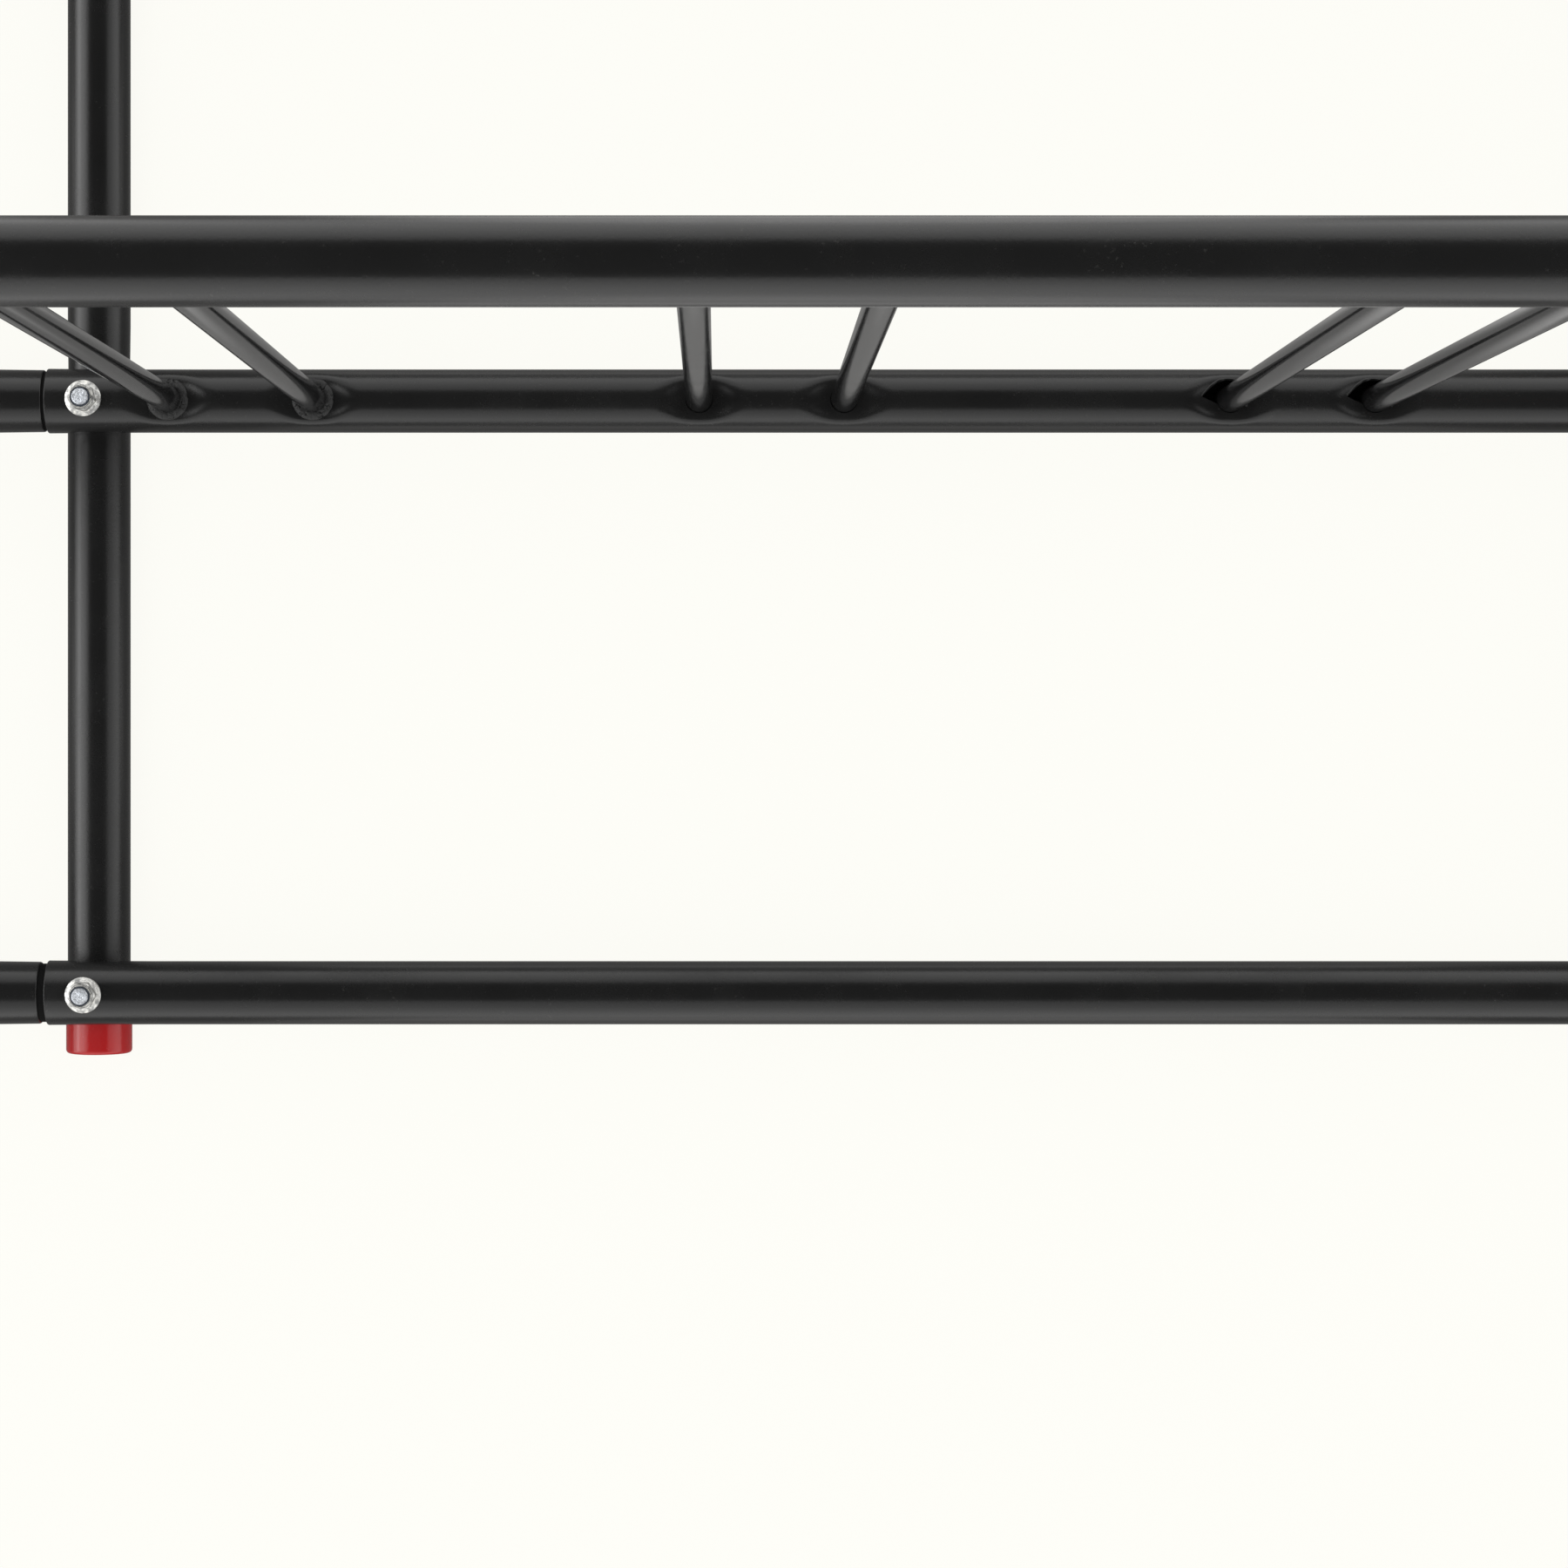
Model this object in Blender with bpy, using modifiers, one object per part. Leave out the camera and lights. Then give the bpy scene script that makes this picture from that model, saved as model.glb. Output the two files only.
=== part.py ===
"""A free-standing floor rack for bicycles, made of round steel tube.

Three low cross tubes lie on three foot rails and are bolted down to them. The middle cross tube
carries pairs of upright rods with a top rail over them, and a wheel stands between the rods of a
pair, cradled by the low tubes on either side. The cross tubes and the top rail come in sections,
joined at the middle foot: the swaged neck of one slides into the flared socket of the next.

Metres, +Z up. The origin is on the floor under the centre of the rack. X runs along the rack.
"""

import math

import bmesh
import bpy
from mathutils import Matrix

# Tube stock
TUBE_OD = 0.0381
TUBE_WALL = 0.0012
ROD_OD = 0.0160
ROD_WALL = 0.0012

# Layout
SECTION_NAMES = ("left", "right")
FOOT_NAMES = ("left", "middle", "right")
SLOTS_PER_SECTION = 3
SLOT_PITCH = 0.3187
FIRST_SLOT = 0.0933
ROD_SPACING = 0.0870
CROSS_SPREAD = 0.3570
TOP_RAIL_AXIS = 0.7520
TOP_RAIL_FORWARD = 0.0032  # the rail sits this far in front of the rods' plane
END_OVERHANG = 0.0373

# Splices: the socket is flared at its mouth and the neck is swaged down to enter it. The tube
# that carries the neck is drawn in a little before its shoulder.
SOCKET_MOUTH = 0.0240
SOCKET_FLARE = 0.0004
SOCKET_TAPER = 0.0550
SOCKET_LIP = 0.0005
SEAM_GAP_MIDDLE = 0.0018
SEAM_GAP_OUTER = 0.0042
SWAGE_RELIEF = 0.0004
SWAGE_RUN = 0.0320
NECK_TO_DISH = 0.0060
FOOT_SEAM = 0.0165
FOOT_SEAM_GAP = 0.0010
FOOT_NECK_REACH = 0.0220

# Pressed dish where a rod enters the middle cross tube. The pair of rods next to a section's
# socket stands in round holes, and the wall is torn open beside each of the others. The tear's
# points are seen from above, from the rod's axis.
DISH_DEPTH = 0.0058
DISH_HALF_LENGTH = 0.0200
DISH_AXIS_ACROSS = 0.0600
ROUND_HOLES_PER_SECTION = 2
ROD_DEPTH_LOW = 0.0070
ROD_DEPTH_TOP = 0.0080
TEAR_POINT = (-0.0180, 0.0015)
TEAR_SHOULDER = (-0.0080, 0.0108)
TEAR_REAR = (0.0030, 0.0118)
TEAR_ARC = (-160.0, 40.0)

# Push-on end caps
CAP_WALL = 0.0008
CAP_END = 0.0020
CAP_LENGTH = 0.0260
CAP_BEVEL = 0.0016
CAP_SOLE = 0.0003

# Bolts with flanged lock nuts
BOLT_D = 0.0100
BOLT_POINT = 0.0010
BOLT_STAND = 0.0025
HEAD_FLATS = 0.0160
HEAD_HEIGHT = 0.0064
NUT_FLATS = 0.0150
NUT_HEIGHT = 0.0120
FLANGE_D = 0.0218
FLANGE_EDGE = 0.0014
FLANGE_RISE = 0.0034
COLLAR_D = 0.0134
COLLAR_RISE = 0.0032
ACCESS_HOLE_D = 0.0210

# Clearances
SEAT_GAP = 0.0003
SLIDE_GAP = 0.0003
CAP_GAP = 0.0002
BOLT_CLEARANCE = 0.0005
CUT_PAST = 0.0020

# Facets of the round pieces
TUBE_SIDES = 16
ROD_SIDES = 12
CAP_SIDES = 16
FASTENER_SIDES = 8
DISH_SIDES = 10
DISH_RINGS = 6
TEAR_STEPS = 9
HOLE_TURN = 0.37
NUT_SIDES = 12  # two for each flat of the hexagon
SMOOTH_ANGLE = math.radians(32)

# Sizes that follow from the ones above
tube_radius = TUBE_OD / 2
bore_radius = tube_radius - TUBE_WALL
rod_radius = ROD_OD / 2
neck_radius = bore_radius - SLIDE_GAP
neck_bore = neck_radius - TUBE_WALL
cap_bore = tube_radius + CAP_GAP
cap_radius = cap_bore + CAP_WALL
section_length = SLOTS_PER_SECTION * SLOT_PITCH
half_rack = section_length * len(SECTION_NAMES) / 2
foot_half = CROSS_SPREAD + END_OVERHANG
flare_at_bolt = SOCKET_FLARE * (SOCKET_TAPER - SOCKET_MOUTH) / (SOCKET_TAPER - SOCKET_LIP)
foot_axis = cap_radius - CAP_SOLE
cross_axis = foot_axis + 2 * tube_radius + flare_at_bolt + SEAT_GAP
neck_reach = FIRST_SLOT - ROD_SPACING / 2 - DISH_HALF_LENGTH - NECK_TO_DISH
bolt_radius = BOLT_D / 2
bolt_hole_radius = bolt_radius + BOLT_CLEARANCE
rod_hole_radius = rod_radius + SEAT_GAP
foot_stations = [-half_rack + section_length * i for i in range(len(SECTION_NAMES) + 1)]

ALONG_X = Matrix.Rotation(math.radians(90), 4, "Y")
ALONG_Y = Matrix.Rotation(math.radians(-90), 4, "X")
UPRIGHT = Matrix.Identity(4)
HANGING = Matrix.Rotation(math.radians(180), 4, "X")


def clear_scene():
    for obj in list(bpy.data.objects):
        bpy.data.objects.remove(obj, do_unlink=True)


def new_collection(name):
    collection = bpy.data.collections.new(name)
    bpy.context.scene.collection.children.link(collection)
    return collection


def new_material(name, colour, roughness, metallic):
    material = bpy.data.materials.new(name)
    material.use_nodes = True
    shader = material.node_tree.nodes["Principled BSDF"]
    shader.inputs["Base Color"].default_value = (*colour, 1.0)
    shader.inputs["Roughness"].default_value = roughness
    shader.inputs["Metallic"].default_value = metallic
    return material


clear_scene()
PARTS = new_collection("bike_rack")
CUTTERS = new_collection("cutters")
TUBE_COAT = new_material("tube_coat", (0.012, 0.012, 0.012), 0.42, 0.0)
ROD_COAT = new_material("rod_coat", (0.014, 0.014, 0.015), 0.22, 0.0)
CAP_VINYL = new_material("cap_vinyl", (0.55, 0.012, 0.016), 0.38, 0.0)
BOLT_ZINC = new_material("bolt_zinc", (0.62, 0.63, 0.64), 0.30, 1.0)
NUT_ZINC = new_material("nut_zinc", (0.70, 0.71, 0.72), 0.26, 1.0)


def smooth(mesh):
    mesh.shade_smooth()
    mesh.set_sharp_from_angle(angle=SMOOTH_ANGLE)


def evaluated_mesh(obj):
    """The mesh that the object's modifiers make. The object itself is removed."""
    bpy.context.scene.collection.objects.link(obj)
    bpy.context.view_layer.update()
    graph = bpy.context.evaluated_depsgraph_get()
    mesh = bpy.data.meshes.new_from_object(obj.evaluated_get(graph))
    name = obj.name
    bpy.data.objects.remove(obj)
    mesh.name = name
    smooth(mesh)
    return mesh


def turned(name, outline, sides, ring=False):
    """A shape turned about Z. The outline's (radius, height) points run down its outer side."""
    mesh = bpy.data.meshes.new(name)
    bm = bmesh.new()
    points = [bm.verts.new((radius, 0, height)) for radius, height in outline]
    for start, end in zip(points, points[1:]):
        bm.edges.new((start, end))
    if ring:
        bm.edges.new((points[-1], points[0]))
    bm.to_mesh(mesh)
    bm.free()
    obj = bpy.data.objects.new(name, mesh)
    screw = obj.modifiers.new("Turn", "SCREW")
    screw.steps = sides
    screw.render_steps = sides
    screw.use_merge_vertices = True
    screw.merge_threshold = 0.00001
    return evaluated_mesh(obj)


def prism(name, outline, low, high):
    """An upright prism over a flat outline of (x, y) points."""
    curve = bpy.data.curves.new(name, "CURVE")
    curve.dimensions = "2D"
    curve.fill_mode = "BOTH"
    curve.extrude = (high - low) / 2
    spline = curve.splines.new("POLY")
    spline.points.add(len(outline) - 1)
    for point, (x, y) in zip(spline.points, outline):
        point.co = (x, y, 0, 1)
    spline.use_cyclic_u = True
    mesh = evaluated_mesh(bpy.data.objects.new(name, curve))
    mesh.transform(Matrix.Translation((0, 0, (high + low) / 2)))
    bm = bmesh.new()
    bm.from_mesh(mesh)
    bmesh.ops.remove_doubles(bm, verts=bm.verts, dist=0.000001)
    bmesh.ops.recalc_face_normals(bm, faces=bm.faces)
    bm.to_mesh(mesh)
    bm.free()
    return mesh


def cylinder(name, radius, low, high, sides, turn=0.0):
    """An upright cylinder, its first corner at +X or turned on by a share of a side."""
    mesh = turned(name, [(0, high), (radius, high), (radius, low), (0, low)], sides)
    mesh.transform(Matrix.Rotation(turn * math.tau / sides, 4, "Z"))
    return mesh


def add_part(name, mesh, material, place=UPRIGHT):
    obj = bpy.data.objects.new(name, mesh)
    if not mesh.materials:
        mesh.materials.append(material)
    obj.matrix_world = place
    PARTS.objects.link(obj)
    return obj


def add_cutter(name, mesh, places):
    """One cutting tool: the same shape repeated at each of the places."""
    bm = bmesh.new()
    for place in places:
        before = len(bm.verts)
        bm.from_mesh(mesh)
        bm.verts.ensure_lookup_table()
        bmesh.ops.transform(bm, matrix=place, verts=bm.verts[before:])
    repeated = bpy.data.meshes.new(name)
    bm.to_mesh(repeated)
    bm.free()
    obj = bpy.data.objects.new(name, repeated)
    obj.hide_render = True
    obj.display_type = "WIRE"
    CUTTERS.objects.link(obj)
    return obj


def cut(obj, tool, solver="EXACT"):
    boolean = obj.modifiers.new(tool.name, "BOOLEAN")
    boolean.operation = "DIFFERENCE"
    boolean.solver = solver
    boolean.object = tool


def joined(name, body, added):
    """One mesh of two that overlap."""
    tool = add_cutter(added.name, added, [UPRIGHT])
    obj = bpy.data.objects.new(name, body)
    union = obj.modifiers.new(added.name, "BOOLEAN")
    union.operation = "UNION"
    union.solver = "EXACT"
    union.object = tool
    mesh = evaluated_mesh(obj)
    bpy.data.objects.remove(tool)
    return mesh


def hex_prism(name, flats, low, high):
    """An upright hexagon bar, its corners at +X and -X."""
    corner = flats / math.sqrt(3)
    bm = bmesh.new()
    bmesh.ops.create_cone(
        bm, cap_ends=True, segments=6, radius1=corner, radius2=corner, depth=high - low
    )
    bmesh.ops.translate(bm, vec=(0, 0, (low + high) / 2), verts=bm.verts)
    mesh = bpy.data.meshes.new(name)
    bm.to_mesh(mesh)
    bm.free()
    return mesh


def at(x, y, z):
    return Matrix.Translation((x, y, z))


def rod_stations(section):
    """X of each rod of a section, from left to right."""
    start = foot_stations[section] + FIRST_SLOT
    centres = [start + SLOT_PITCH * i for i in range(SLOTS_PER_SECTION)]
    return [centre + side * ROD_SPACING / 2 for centre in centres for side in (-1, 1)]


def all_rods(first=0, last=None):
    """X of the rods of every section, or of those between two places in each section's row."""
    sections = range(len(SECTION_NAMES))
    return [x for section in sections for x in rod_stations(section)[first:last]]


# Ends of a tube. Each gives its outer and its inner points from the tube's body towards the end,
# as (radius, station). Inward is +1 where the tube runs on towards +, and -1 where it runs to -.
def plain_end(end, inward):
    return [(tube_radius, end)], [(bore_radius, end)]


def socket_end(mouth, inward):
    full = mouth + inward * SOCKET_TAPER
    outer = [
        (tube_radius, full),
        (tube_radius + SOCKET_FLARE, mouth + inward * SOCKET_LIP),
        (tube_radius + SOCKET_FLARE - SOCKET_LIP, mouth),
    ]
    return outer, [(bore_radius, full), (bore_radius + SOCKET_FLARE, mouth)]


def neck_end(shoulder, tip, inward):
    """A neck swaged down from the tube, with a bevelled shoulder."""
    step = tube_radius - SWAGE_RELIEF - neck_radius
    outer = [
        (tube_radius, shoulder + inward * SWAGE_RUN),
        (neck_radius + step, shoulder + inward * step),
        (neck_radius, shoulder),
        (neck_radius, tip),
    ]
    inner = [
        (bore_radius, shoulder + inward * SWAGE_RUN),
        (bore_radius - SWAGE_RELIEF, shoulder + inward * (step + TUBE_WALL)),
        (neck_bore, shoulder + inward * TUBE_WALL / 2),
        (neck_bore, tip),
    ]
    return outer, inner


def tube_mesh(name, low_end, high_end):
    """A hollow tube along Z between two ends."""
    low_outer, low_inner = low_end
    high_outer, high_inner = high_end
    outline = high_inner + high_outer[::-1] + low_outer + low_inner[::-1]
    return turned(name, outline, TUBE_SIDES, ring=True)


def solid_mesh(name, low_points, high_points, past=0.0):
    """A closed turned body over one side of a tube's wall, carried on past both ends if asked."""
    low_radius, low = low_points[-1]
    high_radius, high = high_points[-1]
    ends = [(0, high + past), (high_radius, high + past)]
    if past:
        body = high_points[::-1] + low_points
    else:
        body = high_points[-2::-1] + low_points[:-1]
    return turned(name, ends + body + [(low_radius, low - past), (0, low - past)], TUBE_SIDES)


def section_ends(section, seam_gap):
    """The two ends of a cross tube or top rail: a splice at the middle foot, plain outside."""
    left, right = foot_stations[section], foot_stations[section + 1]
    first = section == 0
    last = section == len(SECTION_NAMES) - 1
    low = plain_end(left - END_OVERHANG, 1) if first else socket_end(left - SOCKET_MOUTH, 1)
    if last:
        return low, plain_end(right + END_OVERHANG, -1)
    return low, neck_end(right - SOCKET_MOUTH - seam_gap, right + neck_reach, -1)


def crown_rise(foot):
    """How far a cross tube stands out past its plain radius over a foot: sockets are flared."""
    return flare_at_bolt if 0 < foot < len(foot_stations) - 1 else 0.0


def make_cutters():
    """The tools that cut the holes, each one through every piece that it passes."""
    crossings = [(x, y) for x in foot_stations for y in (-CROSS_SPREAD, 0, CROSS_SPREAD)]
    top = cross_axis + tube_radius + SOCKET_FLARE + CUT_PAST
    shank = cylinder("bolt_hole", bolt_hole_radius, foot_axis, top, FASTENER_SIDES, HOLE_TURN)
    bolt_holes = add_cutter("bolt_holes", shank, [at(x, y, 0) for x, y in crossings])

    past = tube_radius + SOCKET_FLARE + CUT_PAST
    rail_shank = cylinder(
        "rail_bolt_hole", bolt_hole_radius, -past, past, FASTENER_SIDES, HOLE_TURN
    )
    splices = [at(x, -TOP_RAIL_FORWARD, TOP_RAIL_AXIS) for x in foot_stations[1:-1]]
    rail_bolt_holes = add_cutter("rail_bolt_holes", rail_shank, splices)

    way_in = cylinder(
        "access_hole", ACCESS_HOLE_D / 2, -CUT_PAST, foot_axis, FASTENER_SIDES, HOLE_TURN
    )
    access_holes = add_cutter("access_holes", way_in, [at(x, y, 0) for x, y in crossings])

    start, end = (math.radians(limit) for limit in TEAR_ARC)
    turns = [start + (end - start) * i / TEAR_STEPS for i in range(TEAR_STEPS + 1)]
    arc = [(rod_hole_radius * math.cos(a), rod_hole_radius * math.sin(a)) for a in turns]
    outline = arc + [TEAR_REAR, TEAR_SHOULDER, TEAR_POINT]
    tear = prism("torn_hole", outline, 0, tube_radius + CUT_PAST)
    torn = [at(x, 0, cross_axis) for x in all_rods(first=ROUND_HOLES_PER_SECTION)]
    torn_holes = add_cutter("torn_holes", tear, torn)

    round_hole = cylinder("rod_hole", rod_hole_radius, -past, 0, ROD_SIDES)
    heads = [at(x, 0, TOP_RAIL_AXIS) for x in all_rods()]
    head_holes = add_cutter("rod_head_holes", round_hole, heads)
    feet = [at(x, 0, cross_axis) @ HANGING for x in all_rods(last=ROUND_HOLES_PER_SECTION)]
    foot_holes = add_cutter("rod_foot_holes", round_hole, feet)
    return bolt_holes, rail_bolt_holes, access_holes, torn_holes, foot_holes, head_holes


def dish_tool(name, growth, rods):
    """Ellipsoids that press the dishes. A grown set shapes the inner side of the same wall."""
    height = 2 * DISH_DEPTH
    length = DISH_HALF_LENGTH / math.sqrt(1 - (1 - DISH_DEPTH / height) ** 2)
    bm = bmesh.new()
    bmesh.ops.create_uvsphere(bm, u_segments=DISH_SIDES, v_segments=DISH_RINGS, radius=1)
    half_axes = (length + growth, DISH_AXIS_ACROSS + growth, height + growth, 1)
    bmesh.ops.transform(bm, matrix=Matrix.Diagonal(half_axes), verts=bm.verts)
    mesh = bpy.data.meshes.new(name)
    bm.to_mesh(mesh)
    bm.free()
    centre = cross_axis + tube_radius - DISH_DEPTH + height
    return add_cutter(name, mesh, [at(x, 0, centre) for x in rods])


def make_feet(bolt_holes, access_holes):
    """Foot rails in two halves, spliced out of sight under the middle cross tube."""
    front_ends = plain_end(-foot_half, 1), plain_end(FOOT_SEAM, -1)
    tip = -FOOT_NECK_REACH
    rear_ends = neck_end(FOOT_SEAM + FOOT_SEAM_GAP, tip, 1), plain_end(foot_half, -1)
    halves = {
        "front": tube_mesh("foot_front", *front_ends),
        "rear": tube_mesh("foot_rear", *rear_ends),
    }
    for x, side in zip(foot_stations, FOOT_NAMES):
        for half, mesh in halves.items():
            foot = add_part(f"foot_{side}_{half}", mesh, TUBE_COAT, at(x, 0, foot_axis) @ ALONG_Y)
            cut(foot, bolt_holes)
            cut(foot, access_holes)


def make_cross_tubes(bolt_holes):
    """The outer low tubes, in front and at the rear."""
    for section, side in enumerate(SECTION_NAMES):
        mesh = tube_mesh(f"cross_tube_{side}", *section_ends(section, SEAM_GAP_OUTER))
        for row, y in (("front", -CROSS_SPREAD), ("rear", CROSS_SPREAD)):
            place = at(0, y, cross_axis) @ ALONG_X
            cut(add_part(f"cross_tube_{row}_{side}", mesh, TUBE_COAT, place), bolt_holes)


def make_grid_tubes(bolt_holes, torn_holes, foot_holes):
    """The middle low tubes, their wall pressed in to a dish and opened at each rod.

    Dishes, bore and holes graze one another, which the manifold solver cuts without slivers.
    """
    place = at(0, 0, cross_axis) @ ALONG_X
    for section, side in enumerate(SECTION_NAMES):
        rods = rod_stations(section)
        low, high = section_ends(section, SEAM_GAP_MIDDLE)
        bore = solid_mesh(f"grid_bore_{side}", low[1], high[1], past=CUT_PAST)
        bore_tool = add_cutter(f"grid_bore_{side}", bore, [place])
        cut(bore_tool, dish_tool(f"dish_inside_{side}", TUBE_WALL, rods), "MANIFOLD")
        outside = solid_mesh(f"grid_tube_{side}", low[0], high[0])
        tube = add_part(f"grid_tube_{side}", outside, TUBE_COAT, place)
        dishes = dish_tool(f"dish_outside_{side}", 0.0, rods)
        for tool in (dishes, bore_tool, torn_holes, foot_holes, bolt_holes):
            cut(tube, tool, "MANIFOLD")


def make_top_rails(rail_bolt_holes, head_holes):
    place = at(0, -TOP_RAIL_FORWARD, TOP_RAIL_AXIS) @ ALONG_X
    for section, side in enumerate(SECTION_NAMES):
        mesh = tube_mesh(f"top_rail_{side}", *section_ends(section, SEAM_GAP_MIDDLE))
        rail = add_part(f"top_rail_{side}", mesh, TUBE_COAT, place)
        cut(rail, rail_bolt_holes)
        cut(rail, head_holes)


def make_rods():
    """Upright rods, let into the middle cross tube and the top rail."""
    low = cross_axis + bore_radius - DISH_DEPTH - ROD_DEPTH_LOW
    high = TOP_RAIL_AXIS - bore_radius + ROD_DEPTH_TOP
    bore = rod_radius - ROD_WALL
    outline = [(bore, high), (rod_radius, high), (rod_radius, low), (bore, low)]
    mesh = turned("rod", outline, ROD_SIDES, ring=True)
    for number, x in enumerate(all_rods(), start=1):
        add_part(f"rod_{number:02d}", mesh, ROD_COAT, at(x, 0, 0))


def cap_mesh(name):
    """A push-on cap about Z: its closed end at the top, the tube's end at height zero."""
    end = CAP_GAP + CAP_END
    mouth = end - CAP_LENGTH
    outline = [
        (0, end),
        (cap_radius - CAP_BEVEL, end),
        (cap_radius, end - CAP_BEVEL),
        (cap_radius, mouth),
        (cap_bore, mouth),
        (cap_bore, CAP_GAP),
        (0, CAP_GAP),
    ]
    return turned(name, outline, CAP_SIDES)


def make_caps():
    """Red caps on every tube's open end. A foot's caps have a flat sole, which stands on the floor."""
    bm = bmesh.new()
    bmesh.ops.create_cube(bm, size=2)
    sole = bpy.data.meshes.new("sole")
    half_axes = (half_rack + 2 * TUBE_OD, foot_half + 2 * TUBE_OD, TUBE_OD, 1)
    slab = at(0, 0, -TUBE_OD) @ Matrix.Diagonal(half_axes)
    bmesh.ops.transform(bm, matrix=slab, verts=bm.verts)
    bm.to_mesh(sole)
    bm.free()
    floor = add_cutter("floor", sole, [UPRIGHT])
    foot_cap = cap_mesh("foot_cap")
    halves = (("front", -foot_half, ALONG_Y.inverted()), ("rear", foot_half, ALONG_Y))
    for x, side in zip(foot_stations, FOOT_NAMES):
        for half, y, turn in halves:
            place = at(x, y, foot_axis) @ turn
            cut(add_part(f"foot_cap_{side}_{half}", foot_cap, CAP_VINYL, place), floor)

    end_cap = cap_mesh("end_cap")
    rows = {
        "front": (-CROSS_SPREAD, cross_axis),
        "grid": (0, cross_axis),
        "rear": (CROSS_SPREAD, cross_axis),
        "top": (-TOP_RAIL_FORWARD, TOP_RAIL_AXIS),
    }
    reach = half_rack + END_OVERHANG
    ends = (("left", -reach, ALONG_X.inverted()), ("right", reach, ALONG_X))
    for row, (y, z) in rows.items():
        for side, x, turn in ends:
            add_part(f"end_cap_{row}_{side}", end_cap, CAP_VINYL, at(x, y, z) @ turn)


def bolt_mesh(name, length):
    """A hex bolt about Z, the underside of its head at height zero and its point at the top."""
    outline = [
        (0, length),
        (bolt_radius - BOLT_POINT, length),
        (bolt_radius, length - BOLT_POINT),
        (bolt_radius, -HEAD_HEIGHT / 2),
        (0, -HEAD_HEIGHT / 2),
    ]
    shank = turned("shank", outline, FASTENER_SIDES)
    return joined(name, hex_prism("head", HEAD_FLATS, -HEAD_HEIGHT, 0), shank)


def nut_mesh(name):
    """A flanged lock nut about Z, its flange at height zero and its collar at the top."""
    hexagon = [NUT_FLATS / math.sqrt(3), NUT_FLATS / 2] * 6
    hole, collar, flange = (
        [radius] * NUT_SIDES for radius in (bolt_radius + SLIDE_GAP, COLLAR_D / 2, FLANGE_D / 2)
    )
    levels = [
        (hole, NUT_HEIGHT),
        (collar, NUT_HEIGHT),
        (collar, NUT_HEIGHT - COLLAR_RISE),
        (hexagon, NUT_HEIGHT - COLLAR_RISE),
        (hexagon, FLANGE_RISE),
        (flange, FLANGE_EDGE),
        (flange, 0),
        (hole, 0),
    ]
    turns = [math.tau * i / NUT_SIDES for i in range(NUT_SIDES)]
    bm = bmesh.new()
    rings = []
    for radii, height in levels:
        points = [(r * math.cos(t), r * math.sin(t), height) for r, t in zip(radii, turns)]
        rings.append([bm.verts.new(point) for point in points])
    for ring, after in zip(rings, rings[1:] + rings[:1]):
        for i in range(NUT_SIDES):
            bm.faces.new((ring[i - 1], ring[i], after[i], after[i - 1]))
    bmesh.ops.recalc_face_normals(bm, faces=bm.faces)
    mesh = bpy.data.meshes.new(name)
    bm.to_mesh(mesh)
    bm.free()
    smooth(mesh)
    return mesh


def head_seat(radius):
    """Height at which a bolt head, its flats along the foot, meets the inside of the foot's top wall."""
    return foot_axis + math.sqrt(radius**2 - (HEAD_FLATS / 2) ** 2) - SEAT_GAP


def make_fasteners():
    """A bolt up through each crossing, its head inside the foot, and one down through the top splice."""
    nut = nut_mesh("lock_nut")
    bolts = {}
    rows = (("front", -CROSS_SPREAD), ("grid", 0), ("rear", CROSS_SPREAD))
    for foot, side in enumerate(FOOT_NAMES):
        nut_seat = cross_axis + tube_radius + crown_rise(foot) + SEAT_GAP
        for row, y in rows:
            low = head_seat(bore_radius if y else neck_bore)
            length = nut_seat + NUT_HEIGHT + BOLT_STAND - low
            kind = round(length, 6)
            if kind not in bolts:
                bolts[kind] = bolt_mesh(f"bolt_{len(bolts) + 1}", length)
            x = foot_stations[foot]
            add_part(f"bolt_{row}_{side}", bolts[kind], BOLT_ZINC, at(x, y, low))
            add_part(f"nut_{row}_{side}", nut, NUT_ZINC, at(x, y, nut_seat))

    seat = tube_radius + flare_at_bolt + SEAT_GAP
    rail_bolt = bolt_mesh("rail_bolt", 2 * seat + NUT_HEIGHT + BOLT_STAND)
    middle = foot_stations[1]
    above = at(middle, -TOP_RAIL_FORWARD, TOP_RAIL_AXIS + seat)
    below = at(middle, -TOP_RAIL_FORWARD, TOP_RAIL_AXIS - seat)
    add_part("bolt_top", rail_bolt, BOLT_ZINC, above @ HANGING)
    add_part("nut_top", nut, NUT_ZINC, below @ HANGING)


def main():
    bolt_holes, rail_bolt_holes, access_holes, torn_holes, foot_holes, head_holes = make_cutters()
    make_feet(bolt_holes, access_holes)
    make_cross_tubes(bolt_holes)
    make_grid_tubes(bolt_holes, torn_holes, foot_holes)
    make_top_rails(rail_bolt_holes, head_holes)
    make_rods()
    make_caps()
    make_fasteners()


main()
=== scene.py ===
"""The looks of a free-standing floor rack for bicycles, laid out as an add-on and run as a script.

Powder-coated tube with pressed dishes and torn holes, glossy rods, weld beads, vinyl caps and
zinc-plated lock nuts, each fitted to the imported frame. Metres, +Z up.
"""

import math

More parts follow.
